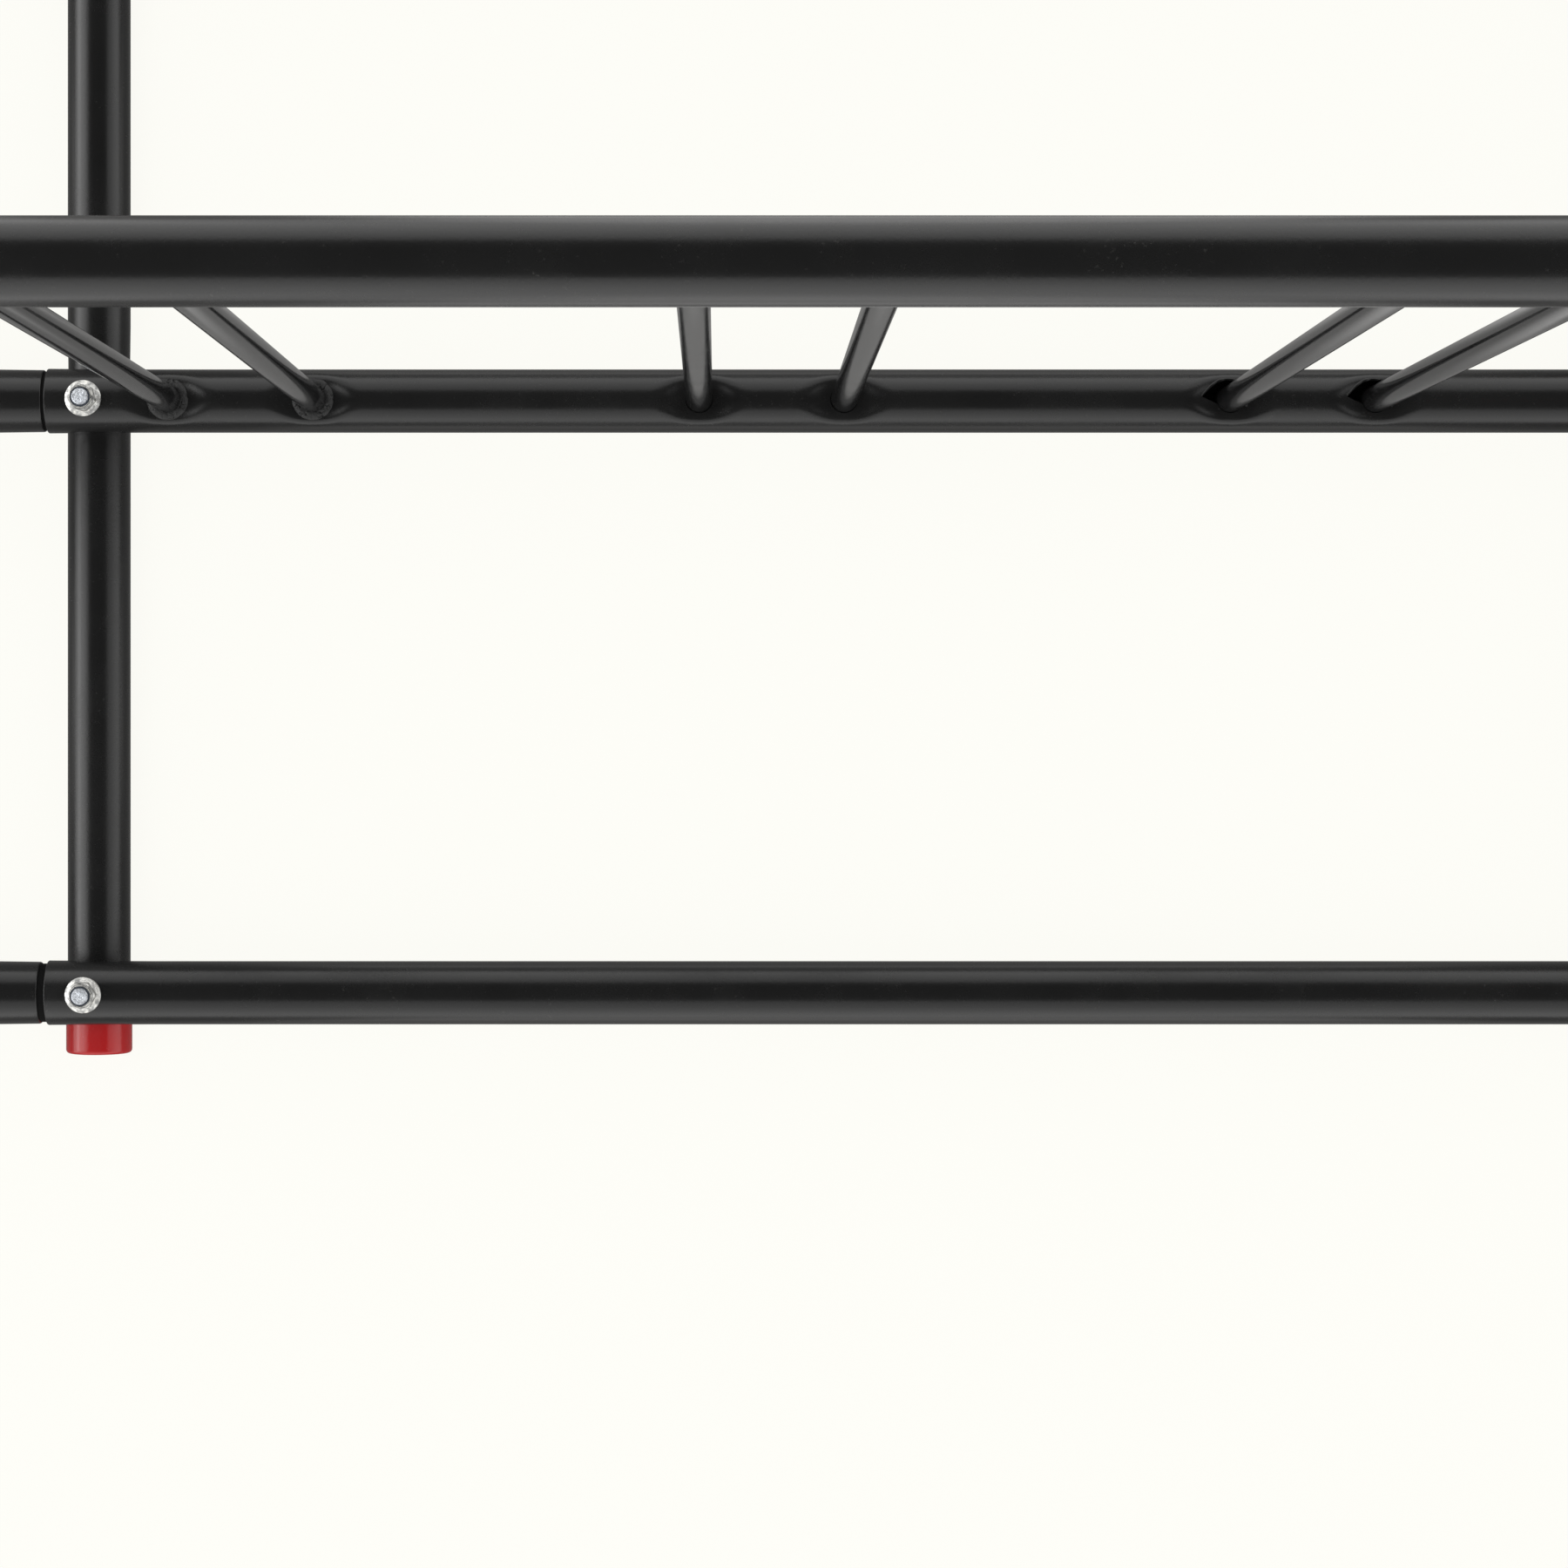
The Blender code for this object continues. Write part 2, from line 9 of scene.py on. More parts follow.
import bmesh
import bpy
import numpy as np
from bpy.props import FloatProperty, FloatVectorProperty, IntProperty, PointerProperty
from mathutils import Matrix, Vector


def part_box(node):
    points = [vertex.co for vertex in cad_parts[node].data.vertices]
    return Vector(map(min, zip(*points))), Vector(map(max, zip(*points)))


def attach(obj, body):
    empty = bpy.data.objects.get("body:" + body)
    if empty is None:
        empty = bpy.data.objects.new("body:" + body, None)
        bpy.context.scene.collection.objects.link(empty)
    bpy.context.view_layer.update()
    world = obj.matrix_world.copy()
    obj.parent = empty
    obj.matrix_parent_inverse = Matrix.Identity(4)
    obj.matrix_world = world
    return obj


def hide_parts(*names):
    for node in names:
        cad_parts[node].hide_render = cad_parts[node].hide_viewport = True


bl_info = {
    "name": "Bike Rack Looks",
    "version": (1, 0, 0),
    "blender": (4, 5, 0),
    "location": "View3D > Sidebar > Bike Rack",
    "description": "Builds the visible pieces and finishes of a bicycle floor rack",
    "category": "Object",
}

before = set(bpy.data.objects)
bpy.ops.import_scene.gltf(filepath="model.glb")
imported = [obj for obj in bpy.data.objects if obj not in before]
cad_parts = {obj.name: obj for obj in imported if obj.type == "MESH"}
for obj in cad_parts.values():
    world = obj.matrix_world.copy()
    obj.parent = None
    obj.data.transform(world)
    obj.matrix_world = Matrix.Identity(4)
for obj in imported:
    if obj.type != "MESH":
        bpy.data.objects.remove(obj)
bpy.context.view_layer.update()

SIDES = ("left", "middle", "right")
SECTIONS = ("left", "right")
HALVES = ("front", "rear")
ROWS = ("front", "grid", "rear")
RODS_PER_SECTION = 6
COLLARED_RODS = 2  # the first of each section stand in full weld collars
TORN_RODS = 2  # the last of each section stand beside tears
QUARTER_TURN = math.pi / 2

# Form of the tubes and of their ends, as in the frame
TUBE_RADIUS = 0.01905
TUBE_WALL = 0.0012
NECK_RADIUS = 0.01755
SOCKET_FLARE = 0.0004
SOCKET_TAPER = 0.0550
SWAGE_RELIEF = 0.0004
SWAGE_RUN = 0.0320
SEAM_GAPS = {"cross_tube": 0.0042, "grid_tube": 0.0018, "top_rail": 0.0018, "foot": 0.0010}
RING_STEP = 0.02  # between a tube's rings, away from its holes
BOLT_HOLE_RADIUS = 0.0055
ACCESS_RADIUS = 0.0105  # of the hole for the bolt's head under a foot
LOW_TUBES_TOP = 0.10  # above every low tube, where cutting tools end
ROD_GAP = 0.0003
DISH_ROUNDNESS = 0.8  # below 1, a dish is longer across the tube than along it
# A tear's edge in plan, from its rod's axis, and the part of the rod's round hole that is left
TEAR_EDGE = (
    (0.0030, 0.0118),
    (-0.0030, 0.0121),
    (-0.0080, 0.0108),
    (-0.0125, 0.0074),
    (-0.0180, 0.0015),
)
TEAR_ARC = (-160.0, 40.0)
SHARP = math.radians(32)  # what turns by more shows as an edge


def length(name, description, default, **more):
    return FloatProperty(
        name=name, description=description, default=default, unit="LENGTH", precision=5, **more
    )


def colour(name, description, default):
    return FloatVectorProperty(
        name=name, description=description, default=default, subtype="COLOR", min=0, max=1
    )


class RackTubes(bpy.types.PropertyGroup):
    sides: IntProperty(name="Sides", description="Facets round a tube", default=96, min=24)
    dish_depth: length("Dish depth", "How deep the wall is pressed in at a rod", 0.0051)
    dish_seat: length("Dish seat", "Half the length of a dish's even bottom", 0.007)
    dish_reach: length("Dish reach", "Reach of a dish from its rod along the tube", 0.034)
    dish_rim: length("Dish rim", "Softness of the rim round a dish", 0.0045)
    lip: length("Lip", "Thickness of the rolled lip along a tear", 0.0008)


class RackRods(bpy.types.PropertyGroup):
    radius: length("Radius", "Outer radius of an upright rod", 0.008)
    wall: length("Wall", "Wall of an upright rod", 0.0012)
    sides: IntProperty(name="Sides", description="Facets round a rod", default=64, min=12)


class RackWelds(bpy.types.PropertyGroup):
    width: length("Width", "Half the width of a bead", 0.0033)
    height: length("Height", "Half the height of a bead", 0.0018)
    lumps: length("Lumps", "Height of the lumps along a bead", 0.0006)
    pits: length("Pits", "Depth of the pits in a bead", 0.0009)
    seed: FloatProperty(name="Seed", description="Picks another pattern of lumps", default=3.0)


class RackFasteners(bpy.types.PropertyGroup):
    bolt_radius: length("Bolt radius", "Radius of the bolts over the thread", 0.005)
    pitch: length("Thread pitch", "Rise of the thread in one turn", 0.0015)
    thread: length("Thread depth", "Depth of the thread", 0.0007)
    flats: length("Nut flats", "Width of a nut across its flats", 0.015)
    flange: length("Flange", "Diameter of a nut's flange", 0.0218)
    collar: length("Collar", "Diameter of a nut's collar", 0.0134)
    height: length("Nut height", "Height of a nut with its collar", 0.012)
    head_flats: length("Head flats", "Width of a bolt head across its flats", 0.016)
    head_height: length("Head height", "Height of a bolt head", 0.0064)


class RackFinishes(bpy.types.PropertyGroup):
    tube: colour("Tube coat", "Satin powder coat of the tubes", (0.0085, 0.0085, 0.0085))
    rod: colour("Rod coat", "Glossier coat of the rods", (0.013, 0.013, 0.0135))
    weld: colour("Weld coat", "Coat over the weld beads", (0.014, 0.014, 0.014))
    cap: colour("Cap vinyl", "Soft vinyl of the end caps", (0.50, 0.008, 0.010))
    zinc: colour("Zinc", "Zinc plating of the nuts", (0.66, 0.665, 0.66))
    bolt: colour("Bolt zinc", "Zinc plating of the bolts", (0.64, 0.68, 0.75))
    # Painted shade: the rings in the splice gaps take this near-black colour to stand for the shade
    # deep in the gaps.
    neck: colour("Neck", "Blackened steel of the necks", (0.0035, 0.0035, 0.0035))
    nylon: colour("Nylon", "Locking ring in a nut", (0.13, 0.155, 0.20))


class RackStudio(bpy.types.PropertyGroup):
    floor: colour("Floor", "Colour of the floor", (0.98, 0.975, 0.94))
    level: FloatProperty(name="Light level", description="Level of the soft light", default=0.72)
    lens: FloatProperty(
        name="Lens", description="Focal length of the camera", default=0.08528, unit="CAMERA"
    )


class Signal:
    """What a socket gives. Arithmetic on it adds Math nodes."""

    def __init__(self, sheet, socket):
        self.sheet = sheet
        self.socket = socket

    def __add__(self, other):
        return self.sheet.maths("ADD", self, other)

    def __sub__(self, other):
        return self.sheet.maths("SUBTRACT", self, other)

    def __mul__(self, other):
        return self.sheet.maths("MULTIPLY", self, other)

    def __truediv__(self, other):
        return self.sheet.maths("DIVIDE", self, other)

    def __pow__(self, other):
        return self.sheet.maths("POWER", self, other)

    def __radd__(self, other):
        return self.sheet.maths("ADD", other, self)

    def __rsub__(self, other):
        return self.sheet.maths("SUBTRACT", other, self)

    def __rmul__(self, other):
        return self.sheet.maths("MULTIPLY", other, self)


class Sheet:
    """Adds nodes to a shader tree or a geometry tree."""

    def __init__(self, tree):
        self.tree = tree

    def add(self, kind, settings=None, inputs=None, output=0):
        node = self.tree.nodes.new(kind)
        for name, value in (settings or {}).items():
            setattr(node, name, value)
        for key, value in (inputs or {}).items():
            if isinstance(value, Signal):
                self.tree.links.new(value.socket, node.inputs[key])
            else:
                node.inputs[key].default_value = value
        return Signal(self, node.outputs[output]) if node.outputs else None

    def other(self, signal, output):
        """Another output of the node that a signal comes from."""
        return Signal(self, signal.socket.node.outputs[output])

    def maths(self, operation, first, second=0.0):
        return self.add("ShaderNodeMath", {"operation": operation}, {0: first, 1: second})

    def noise(self, place, scale, detail=2.0, roughness=0.5):
        inputs = {"Vector": place, "Scale": scale, "Detail": detail, "Roughness": roughness}
        return self.add("ShaderNodeTexNoise", None, inputs)

    def between(self, value, low, high, start=0.0, end=1.0):
        """A smooth step from start to end as the value goes from low to high."""
        settings = {"interpolation_type": "SMOOTHSTEP"}
        inputs = {"Value": value, "From Min": low, "From Max": high, "To Min": start, "To Max": end}
        return self.add("ShaderNodeMapRange", settings, inputs)

    def blend(self, factor, first, second):
        """A colour between two colours."""
        settings = {"data_type": "RGBA"}
        return self.add("ShaderNodeMix", settings, {0: factor, 6: first, 7: second}, 2)

    def bump(self, height, distance):
        return self.add("ShaderNodeBump", None, {"Height": height, "Distance": distance})

    def principled(self, base, roughness, normal, more=None):
        inputs = {"Base Color": base, "Roughness": roughness, "Normal": normal}
        shader = self.add("ShaderNodeBsdfPrincipled", None, inputs | (more or {}))
        self.add("ShaderNodeOutputMaterial", None, {"Surface": shader})


def shade(colour, factor):
    """A colour made lighter or darker, with its alpha."""
    return (*(min(1.0, part * factor) for part in colour), 1.0)


def new_finish(name):
    material = bpy.data.materials.new(name)
    material.use_nodes = True
    material.node_tree.nodes.clear()
    sheet = Sheet(material.node_tree)
    return material, sheet, sheet.add("ShaderNodeTexCoord", output="Object")


def powder_coat(name, colour, roughness, peel, peel_scale, dust_level):
    """A sprayed and baked coat: orange peel, faint mottling and a little dust."""
    material, sheet, place = new_finish(name)
    mottle = sheet.noise(place, 14.0, 4.0)
    dust = sheet.between(sheet.noise(place, 420.0, 5.0, 0.65), 0.60, 0.78)
    film = sheet.between(sheet.noise(place, 36.0, 5.0, 0.6), 0.42, 0.70)
    ripples = sheet.noise(place, peel_scale, 1.0)
    grain = sheet.noise(place, peel_scale * 3.6, 2.0)
    base = sheet.blend(mottle, shade(colour, 0.80), shade(colour, 1.22))
    dusty = sheet.blend(dust * film * dust_level, base, (0.20, 0.195, 0.185, 1.0))
    rough = roughness + (mottle - 0.5) * 0.10 + film * 0.04 + dust * 0.06
    sheet.principled(dusty, rough, sheet.bump(ripples + grain * 0.30, peel))
    return material


def weld_coat(name, colour):
    """The coat over a weld: duller, with spatter and pinholes."""
    material, sheet, place = new_finish(name)
    lumps = sheet.noise(place, 900.0, 4.0, 0.65)
    holes = sheet.add("ShaderNodeTexVoronoi", None, {"Vector": place, "Scale": 620.0})
    pits = sheet.between(holes, 0.05, 0.32)
    base = sheet.blend(lumps, shade(colour, 0.5), shade(colour, 1.8))
    normal = sheet.bump(lumps * 0.7 + pits * 0.5, 0.00045)
    sheet.principled(base, 0.64 - lumps * 0.20, normal)
    return material


def vinyl(name, colour):
    """Dipped vinyl with a satin skin, scuffed and a little dusty."""
    material, sheet, place = new_finish(name)
    mottle = sheet.noise(place, 45.0, 4.0)
    scuffs = sheet.between(sheet.noise(place, 210.0, 6.0, 0.7), 0.56, 0.74)
    skin = sheet.noise(place, 520.0, 2.0)
    base = sheet.blend(mottle, shade(colour, 0.86), shade(colour, 1.14))
    worn = sheet.blend(scuffs * 0.20, base, shade((0.52, 0.07, 0.07), 1.0))
    rough = 0.15 + mottle * 0.10 + scuffs * 0.16
    sheet.principled(worn, rough, sheet.bump(skin + scuffs * 0.25, 0.00007))
    return material


def zinc_plate(name, colour, roughness, mottling, dents):
    """Bright zinc: cloudy patches, a bluish and a yellowish tint, fine marks and small dents."""
    material, sheet, place = new_finish(name)
    clouds = sheet.noise(place, 330.0, 4.0, 0.6)
    tint = sheet.noise(place, 120.0, 2.0)
    marks = sheet.noise(place, 1500.0, 3.0, 0.6)
    patches = sheet.between(clouds, 0.36, 0.66)
    warm = [part * share for part, share in zip(colour, (1.0, 0.97, 0.90))]
    cool = sheet.blend(tint, shade(colour, 0.92), shade(warm, 1.08))
    base = sheet.blend(patches * mottling, cool, shade(colour, 0.30))
    rough = roughness + patches * 0.16 + (marks - 0.5) * 0.10
    normal = sheet.bump(clouds * 0.8 + marks * 0.2, dents)
    sheet.principled(base, rough, normal, {"Metallic": 1.0})
    return material


def mottled(name, colour, scale, darkest, lightest, roughness, spread, specular):
    """One coat with a faint mottling: the painted shade on the rings in the splice gaps, or moulded
    nylon.
    """
    material, sheet, place = new_finish(name)
    mottle = sheet.noise(place, scale, 3.0)
    base = sheet.blend(mottle, shade(colour, darkest), shade(colour, lightest))
    normal = sheet.bump(mottle, 0.00005)
    sheet.principled(base, roughness + mottle * spread, normal, {"Specular IOR Level": specular})
    return material


def finish(name):
    """The finish of that name, made on first use."""
    made = bpy.data.materials.get(name)
    if made:
        return made
    looks = bpy.context.scene.rack_finishes
    makers = {
        "satin_powder_coat": (powder_coat, looks.tube, 0.25, 0.000035, 620.0, 0.25),
        "gloss_powder_coat": (powder_coat, looks.rod, 0.09, 0.000012, 520.0, 0.10),
        "coated_weld": (weld_coat, looks.weld),
        "red_vinyl": (vinyl, looks.cap),
        "bright_zinc": (zinc_plate, looks.zinc, 0.24, 0.85, 0.00035),
        "bolt_zinc_plate": (zinc_plate, looks.bolt, 0.26, 0.50, 0.0018),
        # Painted shade for the splice gaps: near black and hardly mirroring.
        "blackened_steel": (mottled, looks.neck, 260.0, 0.6, 1.5, 0.60, 0.20, 0.08),
        "blue_nylon": (mottled, looks.nylon, 700.0, 0.75, 1.3, 0.36, 0.16, 0.5),
    }
    maker, *values = makers[name]
    return maker(name, *values)


def smoothed(mesh):
    mesh.shade_smooth()
    mesh.set_sharp_from_angle(angle=SHARP)
    return mesh


def tidied(mesh):
    """Closes seams and poles, turns the faces outwards and smooths what isn't an edge."""
    bm = bmesh.new()
    bm.from_mesh(mesh)
    bmesh.ops.remove_doubles(bm, verts=bm.verts, dist=1e-7)
    bmesh.ops.recalc_face_normals(bm, faces=bm.faces)
    bm.to_mesh(mesh)
    bm.free()
    return smoothed(mesh)


def shell(name, rings, loop=False):
    """A mesh over rings of points, each joined to the next, and the last to the first in a loop."""
    count, sides = rings.shape[:2]
    ring = np.arange(count if loop else count - 1)[:, None]
    side = np.arange(sides)[None, :]
    after, beside = (ring + 1) % count, (side + 1) % sides
    here, there = ring * sides, after * sides
    corners = [here + side, here + beside, there + beside, there + side]
    faces = np.stack(corners, axis=-1).reshape(-1, 4)
    mesh = bpy.data.meshes.new(name)
    mesh.from_pydata(rings.reshape(-1, 3).tolist(), [], faces.tolist())
    return tidied(mesh)


def turned(outline, sides, axis="z", centre=(0, 0, 0)):
    """Rings of an outline of (radius, station) points turned about an axis through the centre."""
    radius, station = np.array(outline, float).T
    angle = np.linspace(0, math.tau, sides, endpoint=False)
    across, up = radius[:, None] * np.sin(angle), radius[:, None] * np.cos(angle)
    along = np.repeat(station[:, None], sides, axis=1)
    order = {"x": (along, across, up), "y": (across, along, up), "z": (across, up, along)}[axis]
    return np.stack(order, axis=-1) + np.array(centre, float)


def object_from(mesh):
    obj = bpy.data.objects.new(mesh.name, mesh)
    bpy.context.scene.collection.objects.link(obj)
    return obj


def evaluated(obj):
    """The mesh that an object's modifiers make. The object is removed."""
    bpy.context.view_layer.update()
    graph = bpy.context.evaluated_depsgraph_get()
    mesh = bpy.data.meshes.new_from_object(obj.evaluated_get(graph))
    mesh.name = obj.name
    bpy.data.objects.remove(obj)
    return mesh


def with_holes(mesh, tools):
    """The mesh with the tools' forms cut out of it."""
    body = object_from(mesh)
    cutters = [object_from(tool) for tool in tools]
    for cutter in cutters:
        modifier = body.modifiers.new("hole", "BOOLEAN")
        modifier.operation = "DIFFERENCE"
        modifier.solver = "MANIFOLD"
        modifier.object = cutter
    result = evaluated(body)
    for cutter in cutters:
        bpy.data.objects.remove(cutter)
    return smoothed(result)


def piece(name, mesh, coat, nodes):
    """A finished piece that stands for the frame's nodes."""
    mesh.name = name
    mesh.materials.clear()
    mesh.materials.append(finish(coat))
    obj = object_from(mesh)
    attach(obj, "root")
    if nodes:
        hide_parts(*nodes)
    return obj


def middle_of(node):
    low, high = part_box(node)
    return (low + high) / 2


def pin(radius, low, high, centre):
    """An upright closed cylinder, as a cutting tool."""
    outline = [(0, high), (radius, high), (radius, low), (0, low)]
    return shell("pin", turned(outline, 48, "z", (centre[0], centre[1], 0)))


def stations(low, high, step, spots=(), reach=0.0, fine=0.0):
    """Places along a tube, closer together near some spots."""
    places = set(np.round(np.linspace(low, high, max(2, int((high - low) / step))), 6))
    for spot in spots:
        near = np.round(np.arange(spot - reach, spot + reach + fine / 2, fine), 6)
        places = {p for p in places if abs(p - spot) > reach + fine / 2}
        places |= {p for p in near if low <= p <= high}
    return sorted(places)


def plain_end(end):
    """The outer and the inner points of an end that is cut off square."""
    return [(TUBE_RADIUS, end)], [(TUBE_RADIUS - TUBE_WALL, end)]


def socket_end(mouth):
    """A flared mouth with a rounded lip, at the tube's low end."""
    half = TUBE_WALL / 2
    middle = TUBE_RADIUS + SOCKET_FLARE - half
    turns = [math.radians(a) for a in range(90, -1, -15)]
    lip = [(half * math.cos(t), mouth + half * (1 - math.sin(t))) for t in turns]
    outer = [(middle + out, station) for out, station in lip]
    return outer, [(middle - out, station) for out, station in lip[1:]]


def seam_gap(node):
    """The gap left at a splice between the shoulder and the mouth."""
    return next(gap for start, gap in SEAM_GAPS.items() if node.startswith(start))


def drawn_in(shoulder):
    """How the tube's radius falls off towards a neck's shoulder."""

    def change(station):
        return -SWAGE_RELIEF * max(0.0, 1 - abs(station - shoulder) / SWAGE_RUN)

    return change


def near_shoulder(shoulder, inward):
    """Places along the tube where it is drawn in towards a shoulder."""
    return [shoulder + inward * SWAGE_RUN * share for share in (0.08, 0.2, 0.4, 0.6, 0.8, 1.0)]


def neck_end(shoulder, tip, inward):
    """A neck swaged down from the tube, with a rounded shoulder."""
    step = TUBE_RADIUS - SWAGE_RELIEF - NECK_RADIUS
    outer = [(NECK_RADIUS, tip)]
    for turn in (math.radians(degrees) for degrees in range(0, 91, 10)):
        back = inward * step * (1 - math.cos(turn))
        outer.append((NECK_RADIUS + step * math.sin(turn), shoulder + back))
    inner = [
        (NECK_RADIUS - TUBE_WALL, tip),
        (NECK_RADIUS - TUBE_WALL, shoulder + inward * TUBE_WALL / 2),
        (NECK_RADIUS + step - TUBE_WALL, shoulder + inward * (TUBE_WALL + step)),
    ]
    return outer, inner


def tube_rings(low_end, high_end, flare, places, axis, centre, sides):
    """Rings of a hollow tube between two ends, and how many of them are on its outer side."""
    (low_outer, low_inner), (high_outer, high_inner) = low_end, high_end

    def wall(radius, start, end, margin):
        return [(radius + flare(p), p) for p in places if start + margin < p < end - margin]

    outer = low_outer + wall(TUBE_RADIUS, low_outer[-1][1], high_outer[-1][1], 0.0005)
    inner = wall(TUBE_RADIUS - TUBE_WALL, low_inner[-1][1], high_inner[-1][1], 0.001)
    outer, inner = outer + high_outer[::-1], high_inner + inner[::-1] + low_inner[::-1]
    return turned(outer + inner, sides, axis, centre), len(outer)


def straight(station):
    return 0.0


def section_tube(node, spots, reach, fine, sides):
    """Rings of one section of a cross tube or top rail, from the frame's own ends."""
    low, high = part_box(node)
    mid = middle_of(node)
    more = []
    if node.endswith("left"):
        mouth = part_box(node[: -len("left")] + "right")[0].x
        shoulder = mouth - seam_gap(node)
        low_end = plain_end(low.x)
        high_end = neck_end(shoulder, high.x, -1)
        flare = drawn_in(shoulder)
        more = near_shoulder(shoulder, -1)
    else:
        full = low.x + SOCKET_TAPER
        low_end = socket_end(low.x)
        high_end = plain_end(high.x)

        def flare(station):
            return SOCKET_FLARE * min(1.0, max(0.0, (full - station) / SOCKET_TAPER))

    places = sorted(stations(low.x, high.x, RING_STEP, spots, reach, fine) + more)
    centre = (0, mid.y, (low.z + high.z) / 2)
    return tube_rings(low_end, high_end, flare, places, "x", centre, sides)


def rods_of(section):
    first = 1 + RODS_PER_SECTION * SECTIONS.index(section)
    return [f"rod_{n:02d}" for n in range(first, first + RODS_PER_SECTION)]


def soft_least(first, second, softness):
    """The lower of two heights, with a rounded meeting of that softness."""
    near = np.clip(softness - np.abs(first - second), 0, None) / softness
    return np.minimum(first, second) - near * near * softness / 4


def pressed(rings, outer_count, rods, axis_height, tubes):
    """Presses a dish into the wall's top at each rod."""
    wall = np.where(np.arange(len(rings)) < outer_count, 0.0, TUBE_WALL)[:, None]
    x, y, height = rings[..., 0], rings[..., 1], rings[..., 2] - axis_height
    for rod in rods:
        share = np.hypot(x - rod, y * DISH_ROUNDNESS) - tubes.dish_seat
        share = np.clip(share / (tubes.dish_reach - tubes.dish_seat), 0, 1)
        rise = (tubes.dish_depth + tubes.dish_rim) * (3 - 2 * share) * share**2
        bowl = TUBE_RADIUS - tubes.dish_depth + rise - wall
        height = np.where(height > 0, soft_least(height, bowl, tubes.dish_rim), height)
    pressed_rings = rings.copy()
    pressed_rings[..., 2] = height + axis_height
    return pressed_rings


def torn_hole(rod, low, high):
    """A cutting tool for a rod's hole and the tear beside it."""
    radius = bpy.context.scene.rack_rods.radius + ROD_GAP
    start, end = (math.radians(a) for a in TEAR_ARC)
    arc = [(radius * math.cos(a), radius * math.sin(a)) for a in np.linspace(start, end, 28)]
    edge = arc + list(TEAR_EDGE)
    mesh = bpy.data.meshes.new("torn_hole")
    bm = bmesh.new()
    base = [bm.verts.new((rod + x, y, low)) for x, y in edge]
    face = bm.faces.new(base)
    risen = bmesh.ops.extrude_face_region(bm, geom=[face])["geom"]
    tops = [v for v in risen if isinstance(v, bmesh.types.BMVert)]
    bmesh.ops.translate(bm, verts=tops, vec=(0, 0, high - low))
    bmesh.ops.triangulate(bm, faces=bm.faces)
    bmesh.ops.recalc_face_normals(bm, faces=bm.faces)
    bm.to_mesh(mesh)
    bm.free()
    return mesh


def lip_shell(tubes, axis_height):
    """The rolled lip that stands up along a tear, for a rod at the origin."""
    edge = np.array(TEAR_EDGE[::-1])
    share = np.linspace(0, 1, 40)
    known = np.linspace(0, 1, len(edge))
    path = np.stack([np.interp(share, known, edge[:, part]) for part in (0, 1)], axis=-1)
    for _ in range(6):
        path[1:-1] = (path[:-2] + 2 * path[1:-1] + path[2:]) / 4
    heights = axis_height + np.sqrt(TUBE_RADIUS**2 - path[:, 1] ** 2)
    on_tube = np.concatenate([path, heights[:, None]], axis=1)[None]
    on_tube = pressed(on_tube, 1, [0.0], axis_height, tubes)[0]
    along = np.gradient(path, axis=0)
    along /= np.linalg.norm(along, axis=1)[:, None]
    outwards = np.stack([-along[:, 1], along[:, 0], np.zeros(len(path))], axis=-1)
    thick = tubes.lip * np.sin(share * math.pi) ** 0.35 * (1 + 0.22 * np.sin(share * 23) * share)
    thick[[0, -1]] = 0
    turn = np.linspace(0, math.tau, 16, endpoint=False)[None, :, None]
    upwards = np.array((0, 0, 1.0))
    round_it = np.cos(turn) * outwards[:, None] * 1.25 + np.sin(turn) * upwards
    return shell("torn_lip", on_tube[:, None] + thick[:, None, None] * round_it)


def nuts_along(row):
    """The nuts on one row's cross tube."""
    return [f"nut_{row}_{side}" for side in SIDES]


def crossing_pins(nodes, radius, low, high):
    """Cutting tools in line with the nodes."""
    return [pin(radius, low, high, middle_of(node)) for node in nodes]


def tube_piece(name, node, rings, tools):
    """A coated tube with its holes, which stands for the node."""
    mesh = with_holes(shell(node, rings, loop=True), tools)
    piece(name, mesh, "satin_powder_coat", [node])


class BuildFootRails(bpy.types.Operator):
    """The foot rails, each spliced from two halves"""

    bl_idname = "bike_rack.foot_rails"
    bl_label = "Foot Rails"

    def execute(self, context):
        sides = context.scene.rack_tubes.sides
        for side in SIDES:
            nuts = [f"nut_{row}_{side}" for row in ROWS]
            crossings = [middle_of(nut).y for nut in nuts]
            mid = middle_of(f"foot_{side}_front")
            for half in HALVES:
                node = f"foot_{side}_{half}"
                low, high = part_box(node)
                places = stations(low.y, high.y, RING_STEP, crossings, 0.014, 0.0014)
                ends, change = (plain_end(low.y), plain_end(high.y)), straight
                if half == "rear":
                    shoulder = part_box(f"foot_{side}_front")[1].y + seam_gap(node)
                    ends, change = (neck_end(shoulder, low.y, 1), ends[1]), drawn_in(shoulder)
                    places = sorted(places + near_shoulder(shoulder, 1))
                rings, _ = tube_rings(*ends, change, places, "y", (mid.x, 0, mid.z), sides)
                tools = crossing_pins(nuts, BOLT_HOLE_RADIUS, mid.z, 0.05)
                tools += crossing_pins(nuts, ACCESS_RADIUS, -0.004, mid.z)
                tube_piece(f"rail_{side}_{half}", node, rings, tools)
        return {"FINISHED"}


class BuildCrossTubes(bpy.types.Operator):
    """The front and rear low cross tubes, each in two spliced sections"""

    bl_idname = "bike_rack.cross_tubes"
    bl_label = "Cross Tubes"

    def execute(self, context):
        sides = context.scene.rack_tubes.sides
        for row in HALVES:
            for section in SECTIONS:
                node = f"cross_tube_{row}_{section}"
                nuts = nuts_along(row)
                spots = [middle_of(nut).x for nut in nuts]
                rings, _ = section_tube(node, spots, 0.008, 0.001, sides)
                tools = crossing_pins(nuts, BOLT_HOLE_RADIUS, 0.02, LOW_TUBES_TOP)
                tube_piece(f"low_tube_{row}_{section}", node, rings, tools)
        return {"FINISHED"}


